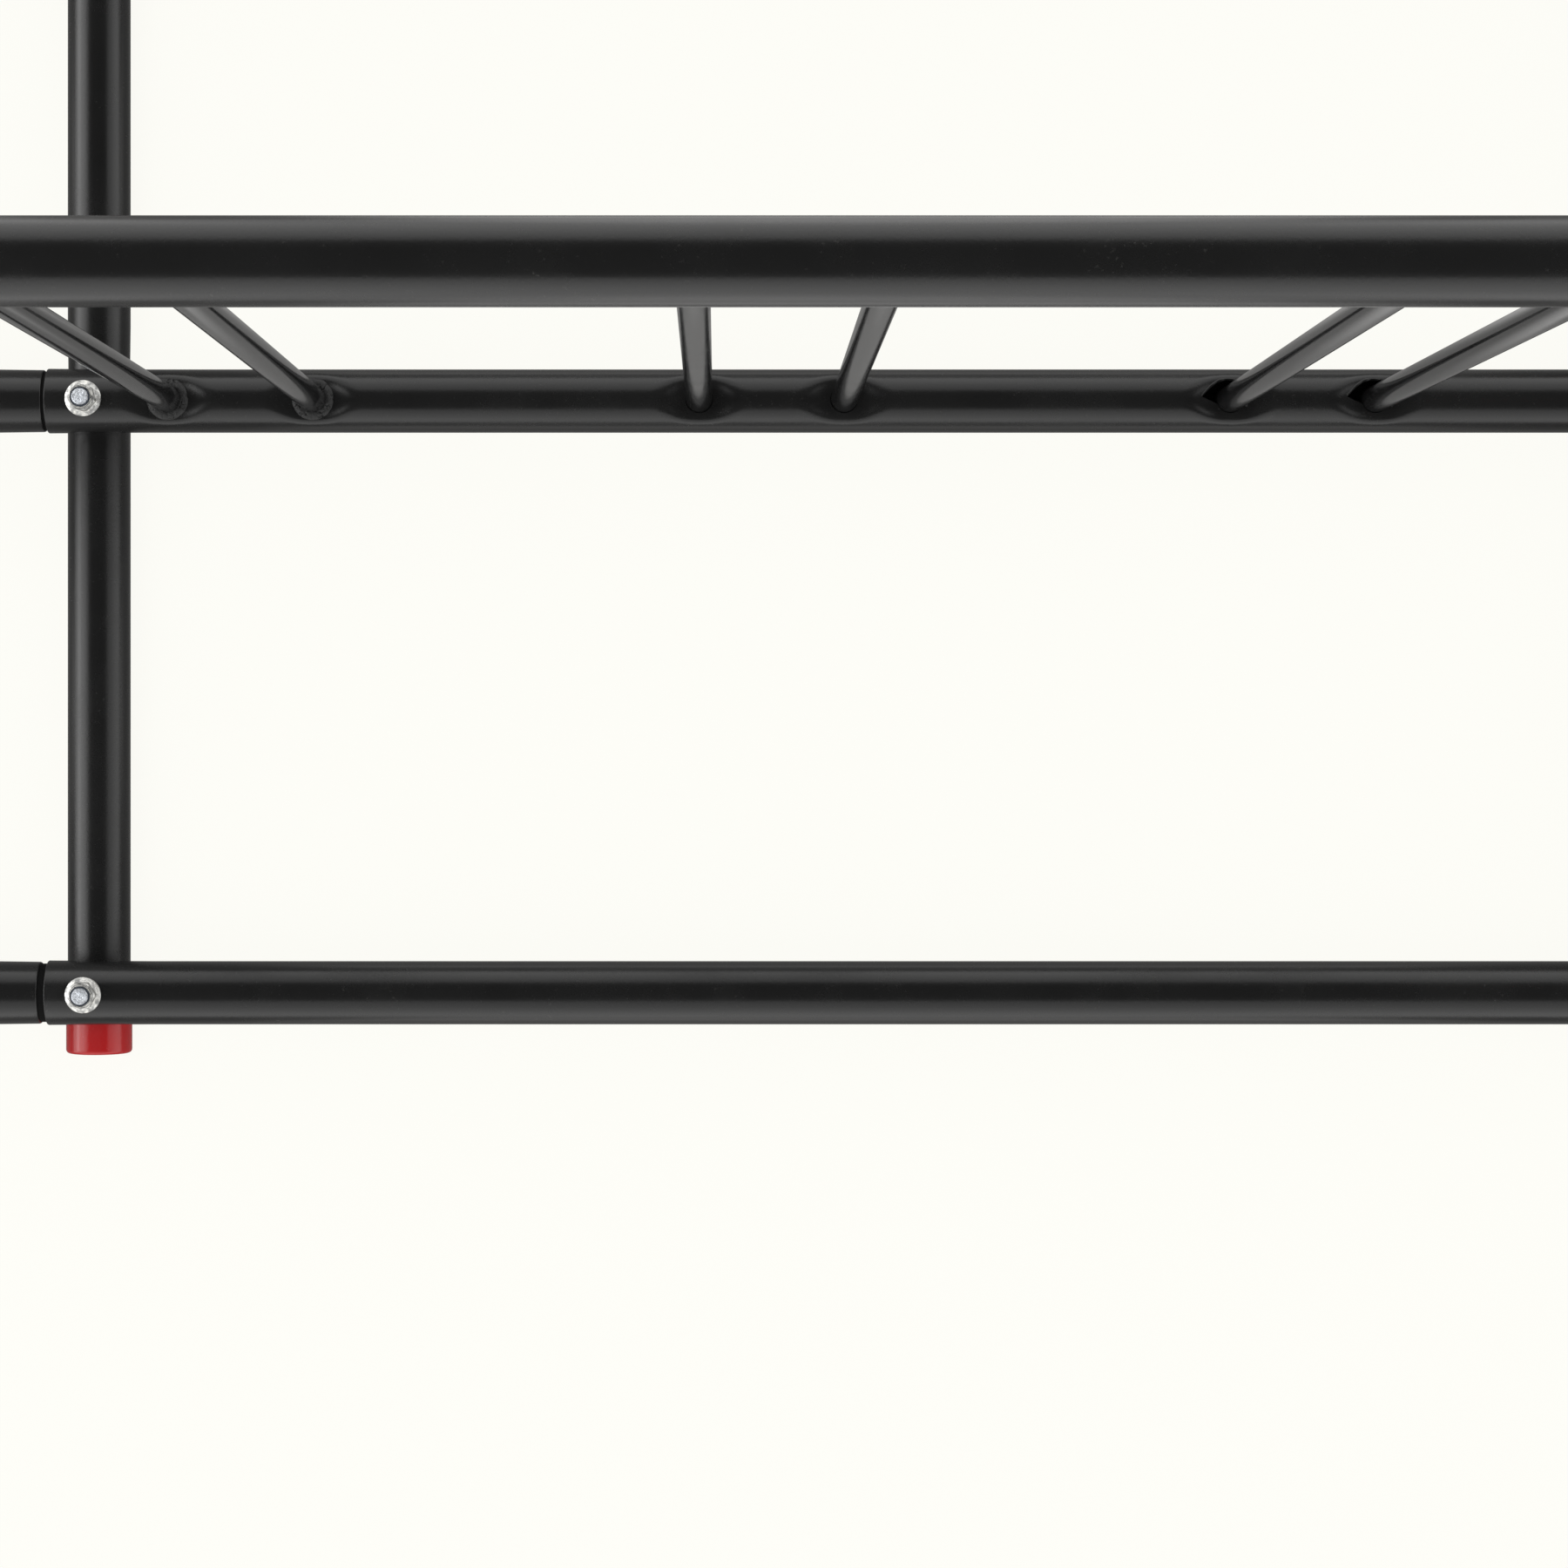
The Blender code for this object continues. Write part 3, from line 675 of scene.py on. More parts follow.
class BuildGridTubes(bpy.types.Operator):
    """The middle low tubes, dished and torn open where the rods enter"""

    bl_idname = "bike_rack.grid_tubes"
    bl_label = "Grid Tubes"

    def execute(self, context):
        tubes = context.scene.rack_tubes
        for section in SECTIONS:
            node = f"grid_tube_{section}"
            low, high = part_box(node)
            axis_height = low.z + (high.y - low.y) / 2
            rods = [middle_of(rod).x for rod in rods_of(section)]
            rings, outer_count = section_tube(node, rods, 0.034, 0.0012, tubes.sides)
            rings[..., 2] += axis_height - (low.z + high.z) / 2
            rings = pressed(rings, outer_count, rods, axis_height, tubes)
            hole, ends = context.scene.rack_rods.radius + ROD_GAP, (axis_height, LOW_TUBES_TOP)
            tools = crossing_pins(nuts_along("grid"), BOLT_HOLE_RADIUS, 0.02, LOW_TUBES_TOP)
            tools += [pin(hole, *ends, (rod, 0)) for rod in rods[:-TORN_RODS]]
            tools += [torn_hole(rod, *ends) for rod in rods[-TORN_RODS:]]
            tube_piece(f"dished_tube_{section}", node, rings, tools)
        return {"FINISHED"}


class BuildTopRails(bpy.types.Operator):
    """The top rail in its two spliced sections"""

    bl_idname = "bike_rack.top_rails"
    bl_label = "Top Rails"

    def execute(self, context):
        sides = context.scene.rack_tubes.sides
        for section in SECTIONS:
            node = f"top_rail_{section}"
            low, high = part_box(node)
            height = (low.z + high.z) / 2
            rods = [middle_of(rod) for rod in rods_of(section)]
            spots = [rod.x for rod in rods] + [middle_of("bolt_top").x]
            rings, _ = section_tube(node, spots, 0.010, 0.001, sides)
            hole = context.scene.rack_rods.radius + ROD_GAP
            tools = [pin(hole, height - 0.03, height, rod) for rod in rods]
            tools += crossing_pins(["bolt_top"], BOLT_HOLE_RADIUS, height - 0.03, height + 0.03)
            tube_piece(f"rail_top_{section}", node, rings, tools)
        return {"FINISHED"}


def new_tree(name, sizes):
    """A geometry tree with named inputs of the given kinds, and the signals of those inputs."""
    tree = bpy.data.node_groups.new(name, "GeometryNodeTree")
    tree.interface.new_socket("Geometry", in_out="INPUT", socket_type="NodeSocketGeometry")
    for label, kind in sizes.items():
        tree.interface.new_socket(label, in_out="INPUT", socket_type=f"NodeSocket{kind}")
    tree.interface.new_socket("Geometry", in_out="OUTPUT", socket_type="NodeSocketGeometry")
    sheet = Sheet(tree)
    start = sheet.add("NodeGroupInput")
    return tree, sheet, {label: sheet.other(start, label) for label in ("Geometry", *sizes)}


def end_tree(sheet, geometry, coat):
    """Realizes a tree's instances, gives them their finish and ends the tree."""
    plain = sheet.add("GeometryNodeRealizeInstances", None, {"Geometry": geometry})
    coated = sheet.add("GeometryNodeSetMaterial", None, {"Geometry": plain, "Material": coat})
    sheet.add("NodeGroupOutput", None, {"Geometry": coated})


def placed(sheet, inputs, shape):
    """The shape put at each of the modified object's points, turned as its point says."""
    kind = {"data_type": "FLOAT_VECTOR"}
    euler = sheet.add("GeometryNodeInputNamedAttribute", kind, {"Name": "turn"})
    turn = sheet.add("FunctionNodeEulerToRotation", None, {"Euler": euler})
    where = {"Points": inputs["Geometry"], "Instance": shape, "Rotation": turn}
    return sheet.add("GeometryNodeInstanceOnPoints", None, where)


def repeated(name, tree, places, values):
    """The mesh that a tree makes over places of (point, turn), with its inputs set by name."""
    mesh = bpy.data.meshes.new(name)
    mesh.from_pydata([tuple(point) for point, _ in places], [], [])
    turns = mesh.attributes.new("turn", "FLOAT_VECTOR", "POINT")
    turns.data.foreach_set("vector", [part for _, turn in places for part in turn])
    obj = object_from(mesh)
    modifier = obj.modifiers.new(tree.name, "NODES")
    modifier.node_group = tree
    sockets = {s.name: s for s in tree.interface.items_tree if s.in_out == "INPUT"}
    for label, value in values.items():
        modifier[sockets[label].identifier] = value
    made = evaluated(obj)
    if "turn" in made.attributes:
        made.attributes.remove(made.attributes["turn"])
    return tidied(made)


def rod_tree():
    sizes = {"Radius": "Float", "Wall": "Float", "Low end": "Float", "High end": "Float"}
    sizes |= {"Sides": "Int", "Coat": "Material"}
    tree, sheet, inputs = new_tree("Upright rods", sizes)
    tall = inputs["High end"] - inputs["Low end"]
    ring = {"Resolution": inputs["Sides"], "Radius": inputs["Radius"] - inputs["Wall"] / 2}
    path = sheet.add("GeometryNodeCurvePrimitiveCircle", None, ring)
    wall = {"Width": inputs["Wall"], "Height": tall}
    wall = sheet.add("GeometryNodeCurvePrimitiveQuadrilateral", None, wall)
    tube = sheet.add("GeometryNodeCurveToMesh", None, {"Curve": path, "Profile Curve": wall})
    lift = sheet.add("ShaderNodeCombineXYZ", None, {"Z": inputs["Low end"] + tall / 2})
    standing = sheet.add("GeometryNodeTransform", None, {"Geometry": tube, "Translation": lift})
    end_tree(sheet, placed(sheet, inputs, standing), inputs["Coat"])
    return tree


class BuildRods(bpy.types.Operator):
    """The upright rods in pairs"""

    bl_idname = "bike_rack.rods"
    bl_label = "Rods"

    def execute(self, context):
        rods = context.scene.rack_rods
        nodes = [rod for section in SECTIONS for rod in rods_of(section)]
        low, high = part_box(nodes[0])
        values = {"Radius": rods.radius, "Wall": rods.wall, "Sides": rods.sides}
        values |= {"Low end": low.z, "High end": high.z, "Coat": finish("gloss_powder_coat")}
        places = [((middle_of(node).x, 0, 0), (0, 0, 0)) for node in nodes]
        mesh = repeated("rods", rod_tree(), places, values)
        piece("rods", mesh, "gloss_powder_coat", nodes)
        return {"FINISHED"}


def bead_tree():
    """A weld bead round a rod, which rises and falls with the round tube that the rod stands on."""
    sizes = {"Path radius": "Float", "Tube radius": "Float", "Width": "Float", "Height": "Float"}
    sizes |= {"Start": "Float", "Sweep": "Float", "Lumps": "Float", "Pits": "Float"}
    sizes |= {"Saddle": "Float", "Offset": "Float", "Seed": "Float", "Coat": "Material"}
    tree, sheet, inputs = new_tree("Weld beads", sizes)
    ring = {"Resolution": 260, "Radius": inputs["Path radius"]}
    ring |= {"Start Angle": inputs["Start"], "Sweep Angle": inputs["Sweep"]}
    arc = sheet.add("GeometryNodeCurveArc", {"mode": "RADIUS"}, ring)
    where = sheet.add("GeometryNodeInputPosition")
    across = sheet.add("ShaderNodeSeparateXYZ", None, {"Vector": where}, "Y") - inputs["Offset"]
    left = inputs["Tube radius"] ** 2.0 - across**2.0
    fall = inputs["Tube radius"] - sheet.maths("SQRT", left)
    drop = sheet.add("ShaderNodeCombineXYZ", None, {"Z": fall * inputs["Saddle"] * -1.0})
    saddle = sheet.add("GeometryNodeSetPosition", None, {"Geometry": arc, "Offset": drop})
    ring = sheet.add("GeometryNodeCurvePrimitiveCircle", None, {"Resolution": 28, "Radius": 1.0})
    sizes = {"X": inputs["Width"], "Y": inputs["Height"], "Z": 1.0}
    shape = sheet.add("ShaderNodeCombineXYZ", None, sizes)
    profile = sheet.add("GeometryNodeTransform", None, {"Geometry": ring, "Scale": shape})
    curves = {"Curve": saddle, "Profile Curve": profile, "Fill Caps": True}
    bead = sheet.add("GeometryNodeCurveToMesh", None, curves)
    beads = {"Geometry": placed(sheet, inputs, bead)}
    beads = sheet.add("GeometryNodeRealizeInstances", None, beads)
    pattern = {"Vector": where, "W": inputs["Seed"]}
    waves = pattern | {"Scale": 210.0, "Detail": 4.0}
    waves = sheet.add("ShaderNodeTexNoise", {"noise_dimensions": "4D"}, waves)
    settings = {"voronoi_dimensions": "4D", "feature": "DISTANCE_TO_EDGE"}
    cells = sheet.add("ShaderNodeTexVoronoi", settings, pattern | {"Scale": 260.0})
    pits = sheet.between(cells, 0.01, 0.12, 1.0, 0.0) * sheet.between(waves, 0.40, 0.52, 1.0, 0.0)
    swell = (waves - 0.5) * 2.0 * inputs["Lumps"] - pits * inputs["Pits"]
    outwards = {0: sheet.add("GeometryNodeInputNormal"), "Scale": swell}
    push = sheet.add("ShaderNodeVectorMath", {"operation": "SCALE"}, outwards)
    lumpy = sheet.add("GeometryNodeSetPosition", None, {"Geometry": beads, "Offset": push})
    end_tree(sheet, lumpy, inputs["Coat"])
    return tree


class BuildWeldBeads(bpy.types.Operator):
    """The weld beads at the feet and the heads of the rods"""

    bl_idname = "bike_rack.weld_beads"
    bl_label = "Weld Beads"

    def execute(self, context):
        welds, rods = context.scene.rack_welds, context.scene.rack_rods
        rail_low, rail_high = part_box("top_rail_left")
        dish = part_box("grid_tube_left")[0].z + 2 * TUBE_RADIUS
        dish -= context.scene.rack_tubes.dish_depth
        under_rail = (rail_low.z + rail_high.z) / 2 - TUBE_RADIUS
        sections = [[middle_of(rod).x for rod in rods_of(section)] for section in SECTIONS]
        collared = [x for xs in sections for x in xs[:COLLARED_RODS]]
        tacked = [x for xs in sections for x in xs[COLLARED_RODS:-TORN_RODS]]
        torn = [x for xs in sections for x in xs[-TORN_RODS:]]
        upright, hanging, aside = (0, 0, 0), (math.pi, 0, 0), (0, 0, math.radians(-78))
        collars = [((x, 0, dish + 0.0006), upright) for x in collared]
        tacks = [((x, 0, dish + 0.0001), upright) for x in tacked]
        tacks += [((x, 0, dish + 0.0010), aside) for x in torn]
        rings = [((x, 0, under_rail), hanging) for x in collared + tacked + torn]
        aft = -(rail_low.y + rail_high.y) / 2
        # Each kind's places, gap, width, height, start, sweep, saddle, lumps, pits and offset
        kinds = {
            "weld_collars": (collars, 0.0014, 1.0, 1.0, 70, 366, 0.35, 1.0, 1.0, 0.0),
            "weld_tacks": (tacks, 0.0008, 0.65, 0.75, 52, 56, 0.5, 0.5, 0.3, 0.0),
            "weld_rings_top": (rings, 0.0008, 0.60, 0.80, -90, 364, 1.0, 0.45, 0.2, aft),
        }
        tree = bead_tree()
        for name, (places, gap, width, height, start, sweep, *rest) in kinds.items():
            saddle, lumps, pits, offset = rest
            values = {
                "Path radius": rods.radius + gap,
                "Tube radius": TUBE_RADIUS,
                "Width": welds.width * width,
                "Height": welds.height * height,
                "Start": math.radians(start),
                "Sweep": math.radians(sweep),
                "Saddle": saddle,
                "Lumps": welds.lumps * lumps,
                "Pits": welds.pits * pits,
                "Offset": offset,
                "Seed": welds.seed,
                "Coat": finish("coated_weld"),
            }
            mesh = repeated(name, tree, places, values)
            piece(name, mesh, "coated_weld", [])
        return {"FINISHED"}


def copies_tree():
    """One shape copied to every place."""
    tree, sheet, inputs = new_tree("Copies", {"Shape": "Object", "Coat": "Material"})
    shape = sheet.add("GeometryNodeObjectInfo", None, {"Object": inputs["Shape"]}, "Geometry")
    end_tree(sheet, placed(sheet, inputs, shape), inputs["Coat"])
    return tree


def copied(name, tree, mesh, places, coat, nodes, settle=None):
    """A piece of one shape repeated at the places."""
    shape = object_from(mesh)
    made = repeated(name, tree, places, {"Shape": shape, "Coat": finish(coat)})
    bpy.data.objects.remove(shape)
    if settle:
        settle(made)
    return piece(name, made, coat, nodes)


def rounded(radius, end, size, degrees, inward):
    """Points round the edge between a turned form's side and its end."""
    turns = [math.radians(part) for part in degrees]
    return [
        (radius - size * (1 - math.cos(t)), end + inward * size * (1 - math.sin(t))) for t in turns
    ]


def cap_outline():
    """A push-on cap: its closed end at the top, the tube's end at height zero."""
    gap, wall, end_wall, long, rounding, lip = 0.0002, 0.0008, 0.0020, 0.0260, 0.0024, 0.0003
    bore, outer, end = TUBE_RADIUS + gap, TUBE_RADIUS + gap + wall, gap + end_wall
    mouth = end - long
    outline = [(0, end), (outer * 0.35, end), (outer * 0.7, end)]
    outline += rounded(outer, end, rounding, range(90, -1, -10), -1)
    outline += [(outer, end - 0.008), (outer, mouth + 0.004)]
    outline += rounded(outer, mouth, lip, range(0, 91, 30), 1)
    return outline + [(bore + 0.0001, mouth), (bore, mouth + 0.0002), (bore, gap), (0, gap)]


def flat_sole(mesh):
    """Flattens what would reach below the floor."""
    for vertex in mesh.vertices:
        vertex.co.z = max(vertex.co.z, 0.0)


class BuildTornLips(bpy.types.Operator):
    """The lips that were rolled up where the tube's wall tore beside a rod"""

    bl_idname = "bike_rack.torn_lips"
    bl_label = "Torn Lips"

    def execute(self, context):
        tubes = context.scene.rack_tubes
        low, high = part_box("grid_tube_left")
        shape = lip_shell(tubes, low.z + (high.y - low.y) / 2)
        rods = [rod for section in SECTIONS for rod in rods_of(section)[-TORN_RODS:]]
        places = [((middle_of(rod).x, 0, 0), (0, 0, 0)) for rod in rods]
        copied("torn_lips", copies_tree(), shape, places, "satin_powder_coat", [])
        return {"FINISHED"}


class BuildGapShade(bpy.types.Operator):
    """Dark rings round the necks, painted shade for the gaps of the splices"""

    bl_idname = "bike_rack.necks"
    bl_label = "Necks"

    def execute(self, context):
        # Thin rings over the necks, in the gaps, that carry the painted shade.
        outer, inner = NECK_RADIUS + 0.00008, NECK_RADIUS - 0.0002
        behind, ahead = 0.0055, 0.0025
        outline = [(inner, ahead), (outer, ahead), (outer, -behind), (inner, -behind)]
        shape = shell("neck", turned(outline, context.scene.rack_tubes.sides), loop=True)
        places = []
        for tube in ("cross_tube_front", "grid_tube", "cross_tube_rear", "top_rail"):
            low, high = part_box(f"{tube}_right")
            radius = (high.y - low.y) / 2
            places.append(((low.x, (low.y + high.y) / 2, low.z + radius), (0, QUARTER_TURN, 0)))
        for side in SIDES:
            mouth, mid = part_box(f"foot_{side}_front")[1].y, middle_of(f"foot_{side}_front")
            places.append(((mid.x, mouth, mid.z), (QUARTER_TURN, 0, 0)))
        copied("splice_necks", copies_tree(), shape, places, "blackened_steel", [])
        return {"FINISHED"}


class BuildEndCaps(bpy.types.Operator):
    """The red caps on the open ends of the tubes"""

    bl_idname = "bike_rack.end_caps"
    bl_label = "End Caps"

    def execute(self, context):
        feet, tubes = {}, {}
        for side in SIDES:
            axis = middle_of(f"foot_{side}_front")
            for half, turn in zip(HALVES, (QUARTER_TURN, -QUARTER_TURN)):
                low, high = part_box(f"foot_{side}_{half}")
                y = low.y if half == "front" else high.y
                feet[f"foot_cap_{side}_{half}"] = ((axis.x, y, axis.z), (turn, 0, 0))
        for row, tube in (
            ("front", "cross_tube_front"),
            ("grid", "cross_tube_front"),
            ("rear", "cross_tube_rear"),
            ("top", "top_rail"),
        ):
            for side, turn in zip(SECTIONS, (-QUARTER_TURN, QUARTER_TURN)):
                node = f"end_cap_{row}_{side}"
                low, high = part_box(f"{tube}_{side}")
                x = low.x if side == "left" else high.x
                low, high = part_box(node)
                tubes[node] = ((x, middle_of(node).y, (low.z + high.z) / 2), (0, turn, 0))
        tree = copies_tree()
        for name, caps, settle in (("foot_caps", feet, flat_sole), ("tube_caps", tubes, None)):
            shape, places = shell("cap", turned(cap_outline(), 96)), list(caps.values())
            copied(name, tree, shape, places, "red_vinyl", list(caps), settle)
        return {"FINISHED"}


def hexagon(angle, flats, rounding):
    """Radius of a hexagon of that width across flats, its corners a little rounded."""
    turn = (angle + math.pi / 6) % (math.pi / 3) - math.pi / 6
    return soft_least(flats / 2 / np.cos(turn), flats / math.sqrt(3) - rounding, rounding * 2)


def chamfered(hexed, flats, share, bite):
    """Radius of a hexagon that far through the chamfer at its end."""
    corner = flats / math.sqrt(3)
    return soft_least(hexed, corner - share * (corner - flats / 2 + bite), 0.0002)


def stacked(rings, angle):
    """Rings of (radius, height), where a radius is a number or differs round the ring."""
    made = []
    for radius, height in rings:
        radius = np.broadcast_to(radius, angle.shape)
        height = np.broadcast_to(height, angle.shape)
        made.append(np.stack((radius * np.cos(angle), radius * np.sin(angle), height), axis=-1))
    return np.array(made)


def nut_shell(sizes):
    """A flanged lock nut on height zero: conical flange, chamfered hexagon and rounded collar."""
    angle = np.linspace(0, math.tau, 144, endpoint=False)
    flange, collar, bore = sizes.flange / 2, sizes.collar / 2, sizes.bolt_radius + 0.0003
    top, shoulder = sizes.height, sizes.height - 0.0032
    edge, crest, chamfer, bead = 0.0014, 0.0034, 0.0009, 0.0005
    hexed = hexagon(angle, sizes.flats, 0.00025)
    rings = [(bore, 0.0004), (bore + 0.0004, 0.0), (flange - 0.0003, 0.0), (flange, 0.0003)]
    rings += [(flange, edge - 0.0004), (flange - 0.0001, edge - 0.0001)]
    for height in np.linspace(edge, crest, 15):
        share = (height - edge) / (crest - edge)
        cone = flange - 0.0003 - (flange - 0.0003 - sizes.flats / 2) * share
        rings.append((-soft_least(-hexed, -cone, 0.0005), height))
    rings += [(hexed, height) for height in np.linspace(crest + 0.0004, shoulder - chamfer, 5)]
    for height in np.linspace(shoulder - chamfer, shoulder, 8)[1:]:
        share = (height - shoulder + chamfer) / chamfer
        rings.append((chamfered(hexed, sizes.flats, share, 0.0002), height))
    rings += [(collar + 0.0003, shoulder), (collar, shoulder + 0.0003)]
    for turn in (math.radians(degrees) for degrees in range(0, 181, 20)):
        out, up = bead * math.cos(turn), bead * math.sin(turn)
        rings.append((collar - bead + out, top - bead + up))
    rings += [(collar - 0.0010, top - 0.0020), (bore, top - 0.0024)]
    return shell("nut", stacked(rings, angle), loop=True)


def nylon_shell(sizes):
    """The locking ring inside a nut's collar."""
    inner, outer, top = sizes.bolt_radius + 0.00012, sizes.collar / 2 - 0.00105, sizes.height
    outline = [
        (outer, top - 0.0019),
        (outer, top - 0.0009),
        (outer - 0.0002, top - 0.0005),
        ((inner + outer) / 2, top - 0.00035),
        (inner + 0.00015, top - 0.0004),
        (inner, top - 0.0007),
        (inner, top - 0.0019),
    ]
    return shell("nylon", turned(outline, 72), loop=True)


def bolt_shell(sizes, long):
    """A hexagon bolt, its head's underside at height zero and its threaded point at the top."""
    angle = np.linspace(0, math.tau, 96, endpoint=False)
    radius, chamfer, runout, low = sizes.bolt_radius, 0.0009, 0.0045, -sizes.head_height
    hexed = hexagon(angle + math.pi / 6, sizes.head_flats, 0.0003)
    rings = [(0.0, low), (sizes.head_flats / 2 - 0.0012, low)]
    for height in np.linspace(low, low + chamfer, 8):
        share = 1 - (height - low) / chamfer
        rings.append((chamfered(hexed, sizes.head_flats, share, 0.0003), height))
    rings += [(hexed, low + 0.002), (hexed, 0.0), (radius, 0.0), (radius, long - 0.020)]
    for height in np.arange(long - runout, long - 0.00001, sizes.pitch / 10):
        turn = (height / sizes.pitch - angle / math.tau) % 1.0
        groove = np.abs(turn * 2 - 1) ** 1.5 * sizes.thread
        fade = min(1.0, (height - long + runout) / 0.001)
        point = radius - max(0.0, height - long + 0.0009)
        rings.append((np.minimum(radius - groove * fade, point), height))
    rings += [(radius - 0.0010, long), (radius * 0.5, long - 0.00008), (0.0, long - 0.0001)]
    return shell("bolt", stacked(rings, angle))


def fastener_places():
    """Each fastener's name, and where its nut sits and how it is turned."""
    turns = (8, 34, -12, 21, 15, -25, 5, 40, -7)
    names = [f"{row}_{side}" for row in ROWS for side in SIDES]
    places = {}
    for name, turn in zip(names, turns):
        mid, seat = middle_of(f"nut_{name}"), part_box(f"nut_{name}")[0].z
        places[name] = ((mid.x, mid.y, seat), (0, 0, math.radians(turn)))
    mid, seat = middle_of("nut_top"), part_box("nut_top")[1].z
    places["top"] = ((mid.x, mid.y, seat), (math.pi, 0, math.radians(11)))
    return places


class BuildBolts(bpy.types.Operator):
    """The bolts with their thread"""

    bl_idname = "bike_rack.bolts"
    bl_label = "Bolts"

    def execute(self, context):
        sizes = context.scene.rack_fasteners
        groups = {}
        for name in fastener_places():
            node = f"bolt_{name}"
            low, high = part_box(node)
            mid, long = middle_of(node), high.z - low.z - sizes.head_height
            hangs = name == "top"
            seat = high.z - sizes.head_height if hangs else low.z + sizes.head_height
            place = ((mid.x, mid.y, seat), (math.pi if hangs else 0, 0, 0))
            groups.setdefault(round(long, 5), []).append((node, place))
        tree = copies_tree()
        for number, (long, bolts) in enumerate(sorted(groups.items()), start=1):
            nodes, places = zip(*bolts)
            shape = bolt_shell(sizes, long)
            copied(f"bolts_{number}", tree, shape, places, "bolt_zinc_plate", nodes)
        return {"FINISHED"}


class BuildLockNuts(bpy.types.Operator):
    """The flanged lock nuts and their nylon rings"""

    bl_idname = "bike_rack.lock_nuts"
    bl_label = "Lock Nuts"

    def execute(self, context):
        sizes = context.scene.rack_fasteners
        tree = copies_tree()
        seats = fastener_places()
        spots, nodes = list(seats.values()), [f"nut_{name}" for name in seats]
        copied("lock_nuts", tree, nut_shell(sizes), spots, "bright_zinc", nodes)
        copied("nylon_rings", tree, nylon_shell(sizes), spots, "blue_nylon", [])
        return {"FINISHED"}


CAMERA_PLACE = (0.380, -0.1985, 2.300)
CAMERA_SHIFT = (0.0419, -0.0344)
FLOOR_DROP = 0.0004  # keeps the floor clear of the caps' soles
# What the coats mirror: each panel's place, size and radiance
PANELS = {
    "rear_panel": ((0, 1.25, 0.92), (8.0, 1.84), 0.82),
    "front_panel": ((0, -1.25, 0.92), (8.0, 1.84), 0.82),
    "left_panel": ((-2.4, 0, 2.05), (3.0, 4.1), 1.2),
    "left_softbox": ((-2.35, 0, 1.70), (2.4, 2.2), 1.3),
    "left_strip": ((-2.3, 0, 0.90), (2.0, 0.36), 1.6),
    "right_panel": ((3.4, 0, 2.2), (3.0, 4.4), 0.8),
}


def mirrored_rays(sheet):
    """Which rays come from the camera, and which from a mirroring or a clear surface."""
    path = sheet.add("ShaderNodeLightPath", output="Is Camera Ray")
    glossy, clear = sheet.other(path, "Is Glossy Ray"), sheet.other(path, "Is Transmission Ray")
    return path, sheet.maths("MAXIMUM", glossy, clear)


def floor_finish(colour):
    """A pale matt floor that shows as white; where it is mirrored, it has painted shade close to
    the tubes.
    """
    material, sheet, place = new_finish("pale_floor")
    seen, mirrored = mirrored_rays(sheet)
    corner = middle_of("nut_rear_right")
    parts = sheet.add("ShaderNodeSeparateXYZ", None, {"Vector": place})
    x, y = sheet.maths("ABSOLUTE", parts), sheet.maths("ABSOLUTE", sheet.other(parts, "Y"))
    feet = sheet.maths("MINIMUM", x, sheet.maths("ABSOLUTE", x - corner.x))
    rows = sheet.maths("MINIMUM", y, sheet.maths("ABSOLUTE", y - corner.y))
    # Painted shade: where it is mirrored, the floor is darker close to the lines of the tubes and
    # rods, as the shade under them, and brighter farther out.
    painted_shade_near_tubes = sheet.between(sheet.maths("MINIMUM", feet, rows), 0.060, 0.23, 0.21, 1.2)
    matt = sheet.add("ShaderNodeBsdfDiffuse", None, {"Color": (*colour, 1.0)})
    glow = sheet.blend(seen, (1.0, 0.99, 0.98, 1.0), (1.0, 0.995, 0.945, 1.0))
    lit = {"Color": glow, "Strength": seen + mirrored * painted_shade_near_tubes}
    lit = sheet.add("ShaderNodeEmission", None, lit)
    share = seen * 0.93 + mirrored * 0.90
    mixed = sheet.add("ShaderNodeMixShader", None, {0: share, 1: matt, 2: lit})
    sheet.add("ShaderNodeOutputMaterial", None, {"Surface": mixed})
    return material


def studio_world(level):
    """A white room: dark overhead where it is mirrored, and even where it only lights."""
    world = bpy.data.worlds.new("studio")
    world.use_nodes = True
    world.node_tree.nodes.clear()
    sheet = Sheet(world.node_tree)
    seen, mirrored = mirrored_rays(sheet)
    where = sheet.add("ShaderNodeTexCoord", output="Generated")
    height = sheet.add("ShaderNodeSeparateXYZ", None, {"Vector": where}, "Z")
    walls = sheet.between(height, 0.10, 0.85, 0.9, 0.05)
    strength = seen + mirrored * walls + (1.0 - seen - mirrored) * level
    tint = sheet.blend(seen, (1.0, 1.0, 0.985, 1.0), (0.985, 0.98, 0.93, 1.0))
    light = sheet.add("ShaderNodeBackground", None, {"Color": tint, "Strength": strength})
    sheet.add("ShaderNodeOutputWorld", None, {"Surface": light})
    return world


def add_lamp(name, place, target, size, radiance):
    """A soft rectangular lamp that faces the target, and isn't mirrored."""
    data = bpy.data.lights.new(name, "AREA")
    data.shape = "RECTANGLE"
    data.size, data.size_y = size
    data.energy = radiance * math.pi * size[0] * size[1]
    lamp = bpy.data.objects.new(name, data)
    lamp.location = place
    aim = Vector(target) - Vector(place)
    lamp.rotation_euler = aim.to_track_quat("-Z", "Y").to_euler()
    lamp.visible_camera = False
    lamp.visible_glossy = False
    bpy.context.scene.collection.objects.link(lamp)
    return lamp


def add_panel(name, place, size, radiance):
    """A bright panel, facing the rack, that the coats mirror. It adds no light of its own."""
    panel = add_lamp(name, place, (0, 0, place[2]), size, radiance)
    panel.visible_glossy = True
    panel.visible_diffuse = False
    panel.visible_transmission = False


